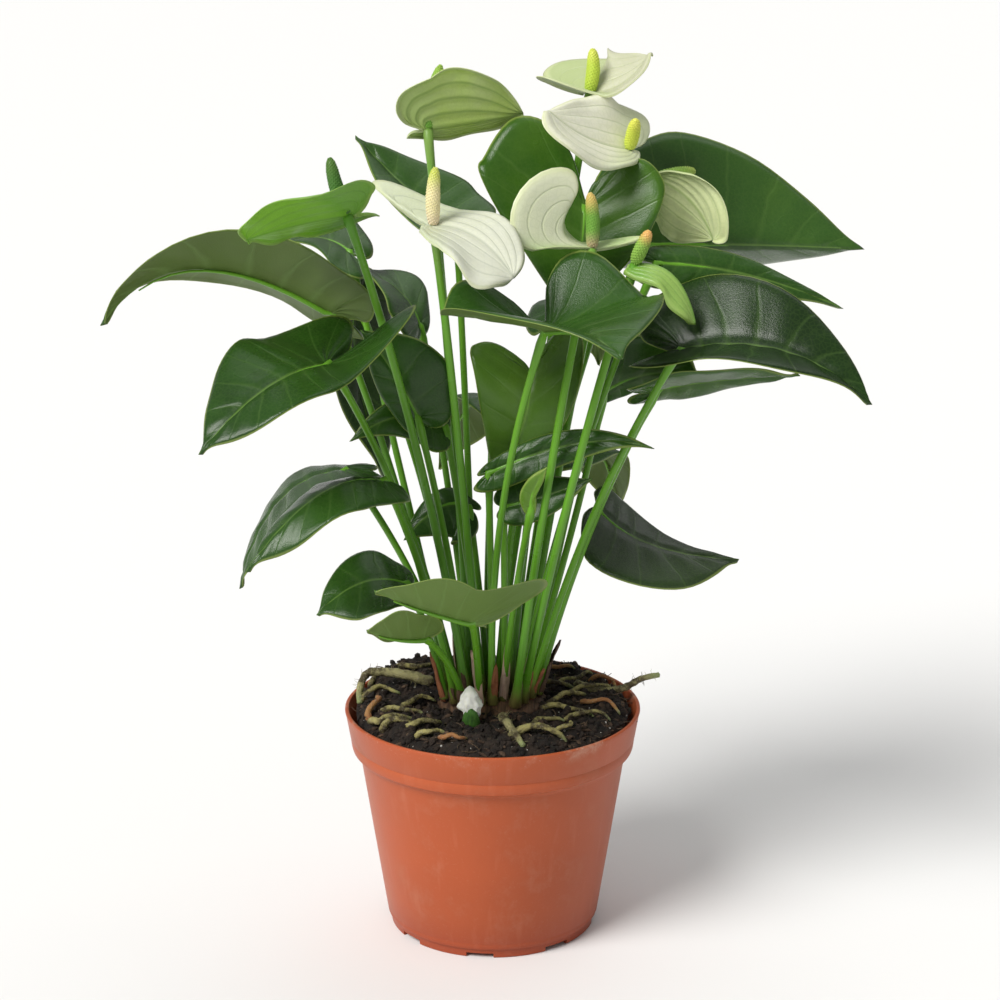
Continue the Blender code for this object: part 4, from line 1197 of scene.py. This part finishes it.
def buildCrown():
    cx, cy, rings, around = (crownSize[key] for key in ("x", "y", "rings", "around"))
    base, knobs = soilSize["level"], crownSize["knobs"]
    shape = Shape()
    verts = [(cx, cy, base + knobs)]
    for i in range(1, rings + 1):
        r = crownSize["radius"] * i / rings
        for j in range(around):
            a = j / around * math.tau
            x, y = cx + r * math.cos(a), cy + r * math.sin(a)
            z = base + knobs * (1 - (i / rings) ** 5) + 1.3 * noise.noise(Vector((x, y, 0)) * 0.3)
            verts.append((x, y, max(z, base + 0.2) if i < rings else base + 0.2))
    low = len(verts)
    verts.append((cx, cy, base - 1.0))
    faces, rim = discFaces(rings, around)
    faces += [(low, rim + (j + 1) % around, rim + j) for j in range(around)]
    uvs = [[(verts[v][0] / 40, verts[v][1]) for v in f] for f in faces]
    shape.add(verts, faces, uvs, 0)
    for n, spec in enumerate([*leafSpecs.values(), *flowerSpecs.values()]):
        foot = np.array([*spec["foot"], base + 2.6])
        top = np.array(spec["base"], float)
        lean = unit(unit(top - foot) + np.array([0, 0, 0.6]))
        tall = sheathSize["tall"] + sheathSize["taller"] * rng.random()
        kind = 2 if n % 7 == 3 else (1 if n % 3 == 0 else 0)  # papery, red-brown or dark
        wide = sheathSize["wide"] + sheathSize["wider"] * rng.random()
        sheathShape(shape, foot, lean, tall * (sheathSize["paper"] if kind == 2 else 1), wide,
                    rng.random() - 0.2, kind)
    # The bud's own green leaf, half round it.
    sheathShape(shape, (-8.2, -28.6, base + 0.2), (0.08, -0.25, 1.0), 8.0, 5.3, 0.6, 3)
    materials = [paperSkin("crownSkin", (0.050, 0.024, 0.012), (0.16, 0.085, 0.045)),
                 paperSkin("sheathSkin", (0.20, 0.055, 0.018), (0.42, 0.17, 0.07)),
                 paperSkin("paperSkin", (0.50, 0.32, 0.22), (0.66, 0.50, 0.40)),
                 paperSkin("budLeafSkin", (0.028, 0.10, 0.008), (0.06, 0.18, 0.014))]
    crown = shape.build("crownSheaths", materials)
    place(crown, "old_sheath", "crown")

    shape = Shape()
    line = [(-8.0, -27.5, base + 1), (-8.4, -27.9, base + 6), (-8.8, -28.3, base + 11),
            (-9.0, -28.6, base + 16)]
    s = np.linspace(0, 1, rolledSize["steps"])
    radii = rolledSize["radius"] * np.interp(s, (0, .2, .45, .75, .92, 1),
                                             (.3, .75, 1, .8, .42, .1))
    shape.rod(through(line, s), radii, rolledSize["sides"], rolledSize["wobble"], under=0.0,
              run=0.5, sideMm=9.0, edgeMm=9.0)
    rolled = dict(white, face=(0.80, 0.81, 0.74), second=(0.84, 0.84, 0.80), veinShare=0.0,
                  foot=(0.30, 0.46, 0.12), footReach=0.0, footShare=0.0)
    bud = shape.build("rolledHood", [spatheSkin("rolledSkin", rolled)])
    place(bud, "spathe_white", "young_spathe")


buildCrown()

# Aerial roots: x, y and height above the soil along each, then short roots on the soil.

rootSpecs = {
    "aerial_root_1": dict(radius=2.2, path=[(-25, 8, 3), (-35, 8, 6), (-44, 9, 10), (-51, 7, 12),
                                            (-54, 3, 8), (-54, 0, 3)]),
    "aerial_root_2": dict(radius=1.9, path=[(34, 12, 3), (44, 11, 3), (53, 8, 7), (61, 8, 11),
                                            (68, 8, 13)]),
    "aerial_root_3": dict(radius=2.0, path=[(4, -28, 3), (6, -35, 4), (9, -42, 3.4),
                                            (12, -49, 3)]),
}


hairSize = {"count": 46, "length": 1.2, "longer": 1.6, "radii": [0.10, 0.08, 0.04]}
shortRootReach = 53.0


def rootSkin(name, dark, light, rust):
    material, tree, shader = newMaterial(name, light, 0.8)
    patch = objectNoise(tree, 180.0, 5.0, 0.65)
    fine = objectNoise(tree, 1500.0, 3.0)
    share = attribute(tree, "share")
    color = blendColor(tree, ramp(tree, patch, 0.40, 0.60), dark, light)
    color = blendColor(tree, calc(tree, "MULTIPLY", attribute(tree, "rust"), 0.8), color, rust)
    color = blendColor(tree, ramp(tree, share, 0.8, 1.0), color, (0.22, 0.26, 0.10))
    color = blendColor(tree, ramp(tree, fine, 0.55, 0.7, 0.0, 0.5), color, (0.36, 0.34, 0.26))
    rough = ramp(tree, fine, 0.3, 0.7, 0.65, 0.9)
    finishSkin(tree, shader, color, rough, (calc(tree, "ADD", fine, patch), 0.8, 0.0008))
    return material


# Short roots that lie on the soil: middle x, y, heading in degrees, length, thickness.
shortRoots = [
    (-44, -24, 8, 26, 1.15), (-40, -33, 18, 20, 1.2), (-27, -30, 20, 15, 1.0),
    (-50, -12, 70, 20, 1.0), (-36, -18, -10, 18, 0.9), (-24, -39, 12, 12, 0.9),
    (-30, -8, 35, 16, 0.9), (-46, 2, 15, 17, 0.9), (-15, -44, -12, 11, 0.8),
    (18, -41, -14, 22, 1.25), (22, -28, 24, 15, 0.9), (30, -16, -20, 22, 0.9),
    (38, -22, 12, 18, 0.8), (44, -8, -35, 20, 0.8), (30, -2, 40, 22, 0.9),
    (40, 8, 20, 20, 0.8), (22, 14, -15, 24, 1.0), (34, 22, 30, 18, 0.8),
    (48, 18, -8, 16, 0.7), (-30, 30, 25, 22, 0.9), (8, 38, 5, 26, 1.0), (-8, 30, -30, 18, 0.8),
    (-48, 22, 60, 14, 0.8), (26, 36, -22, 18, 0.9), (28, -34, 50, 10, 0.7),
]


def buildShortRoots():
    skin = rootSkin("shortRootSkin", (0.045, 0.032, 0.010), (0.33, 0.29, 0.10), (0.33, 0.13, 0.04))
    shape = Shape()
    for n, (x, y, heading, length, radius) in enumerate(shortRoots):
        turn = math.radians(heading)
        s = np.linspace(-1, 1, 18)
        swing = (rng.random() - 0.5) * 8
        wave = swing * (1 - s ** 2) + 0.8 * np.sin(s * 5 + n)
        px = x + np.cos(turn) * s * length / 2 - np.sin(turn) * wave
        py = y + np.sin(turn) * s * length / 2 + np.cos(turn) * wave
        reach = np.minimum(1, shortRootReach / np.maximum(np.hypot(px, py), 1e-6))
        px, py = px * reach, py * reach
        rise = 0.6 + 2.6 * np.clip(1 - s ** 2, 0, 1) ** 0.8 * (0.6 + 0.8 * rng.random())
        ring = np.hypot(px, py)
        heap = soilHeap(ring, py / np.maximum(ring, 1))
        line = np.stack([px, py, soilHeight(px, py) + heap + rise], 1)
        radii = radius * (0.75 + 0.35 * (1 - s)) * (1 + 0.10 * np.sin(s * 22 + n))
        radii[-2:] *= (0.8, 0.45)
        shape.rod(line, radii, 10, 0.2, rust=float(n % 5 == 3))
    place(shape.build("shortRoots", [skin]), "aerial_root")


def buildRoots():
    skin = rootSkin("rootSkin", (0.06, 0.045, 0.016), (0.32, 0.29, 0.13), (0.30, 0.20, 0.10))
    for name, spec in rootSpecs.items():
        points = [(x, y, float(soilHeight(x, y)) + up) for x, y, up in spec["path"]]
        steps = 60
        s = np.linspace(0, 1, steps)
        line = through(points, s)
        rings = 1 + 0.09 * np.sin(s * 70) * (0.5 + 0.5 * np.sin(s * 13))
        radii = spec["radius"] * (1 - 0.45 * s) * rings
        shape = Shape()
        shape.rod(line, radii, 16, 0.22, rust=0.0)
        tangent = unit(np.gradient(line, axis=0))
        for _ in range(hairSize["count"]):
            i = int(rng.integers(4, steps - 4))
            away = unit(np.cross(tangent[i], rng.normal(size=3)))
            root = line[i] + away * radii[i] * 0.9
            length = hairSize["length"] + hairSize["longer"] * rng.random()
            end = root + away * length + tangent[i] * rng.normal() * 0.6
            mid = (root + end) / 2 + rng.normal(size=3) * 0.2
            shape.rod([root, mid, end], hairSize["radii"], 4, share=i / steps)
        place(shape.build(name.replace("aerial_root", "airRoot"), [skin]), "aerial_root", name)


buildRoots()
buildShortRoots()
print("crown and roots built")

addFloor()
addLamps()
addCamera()
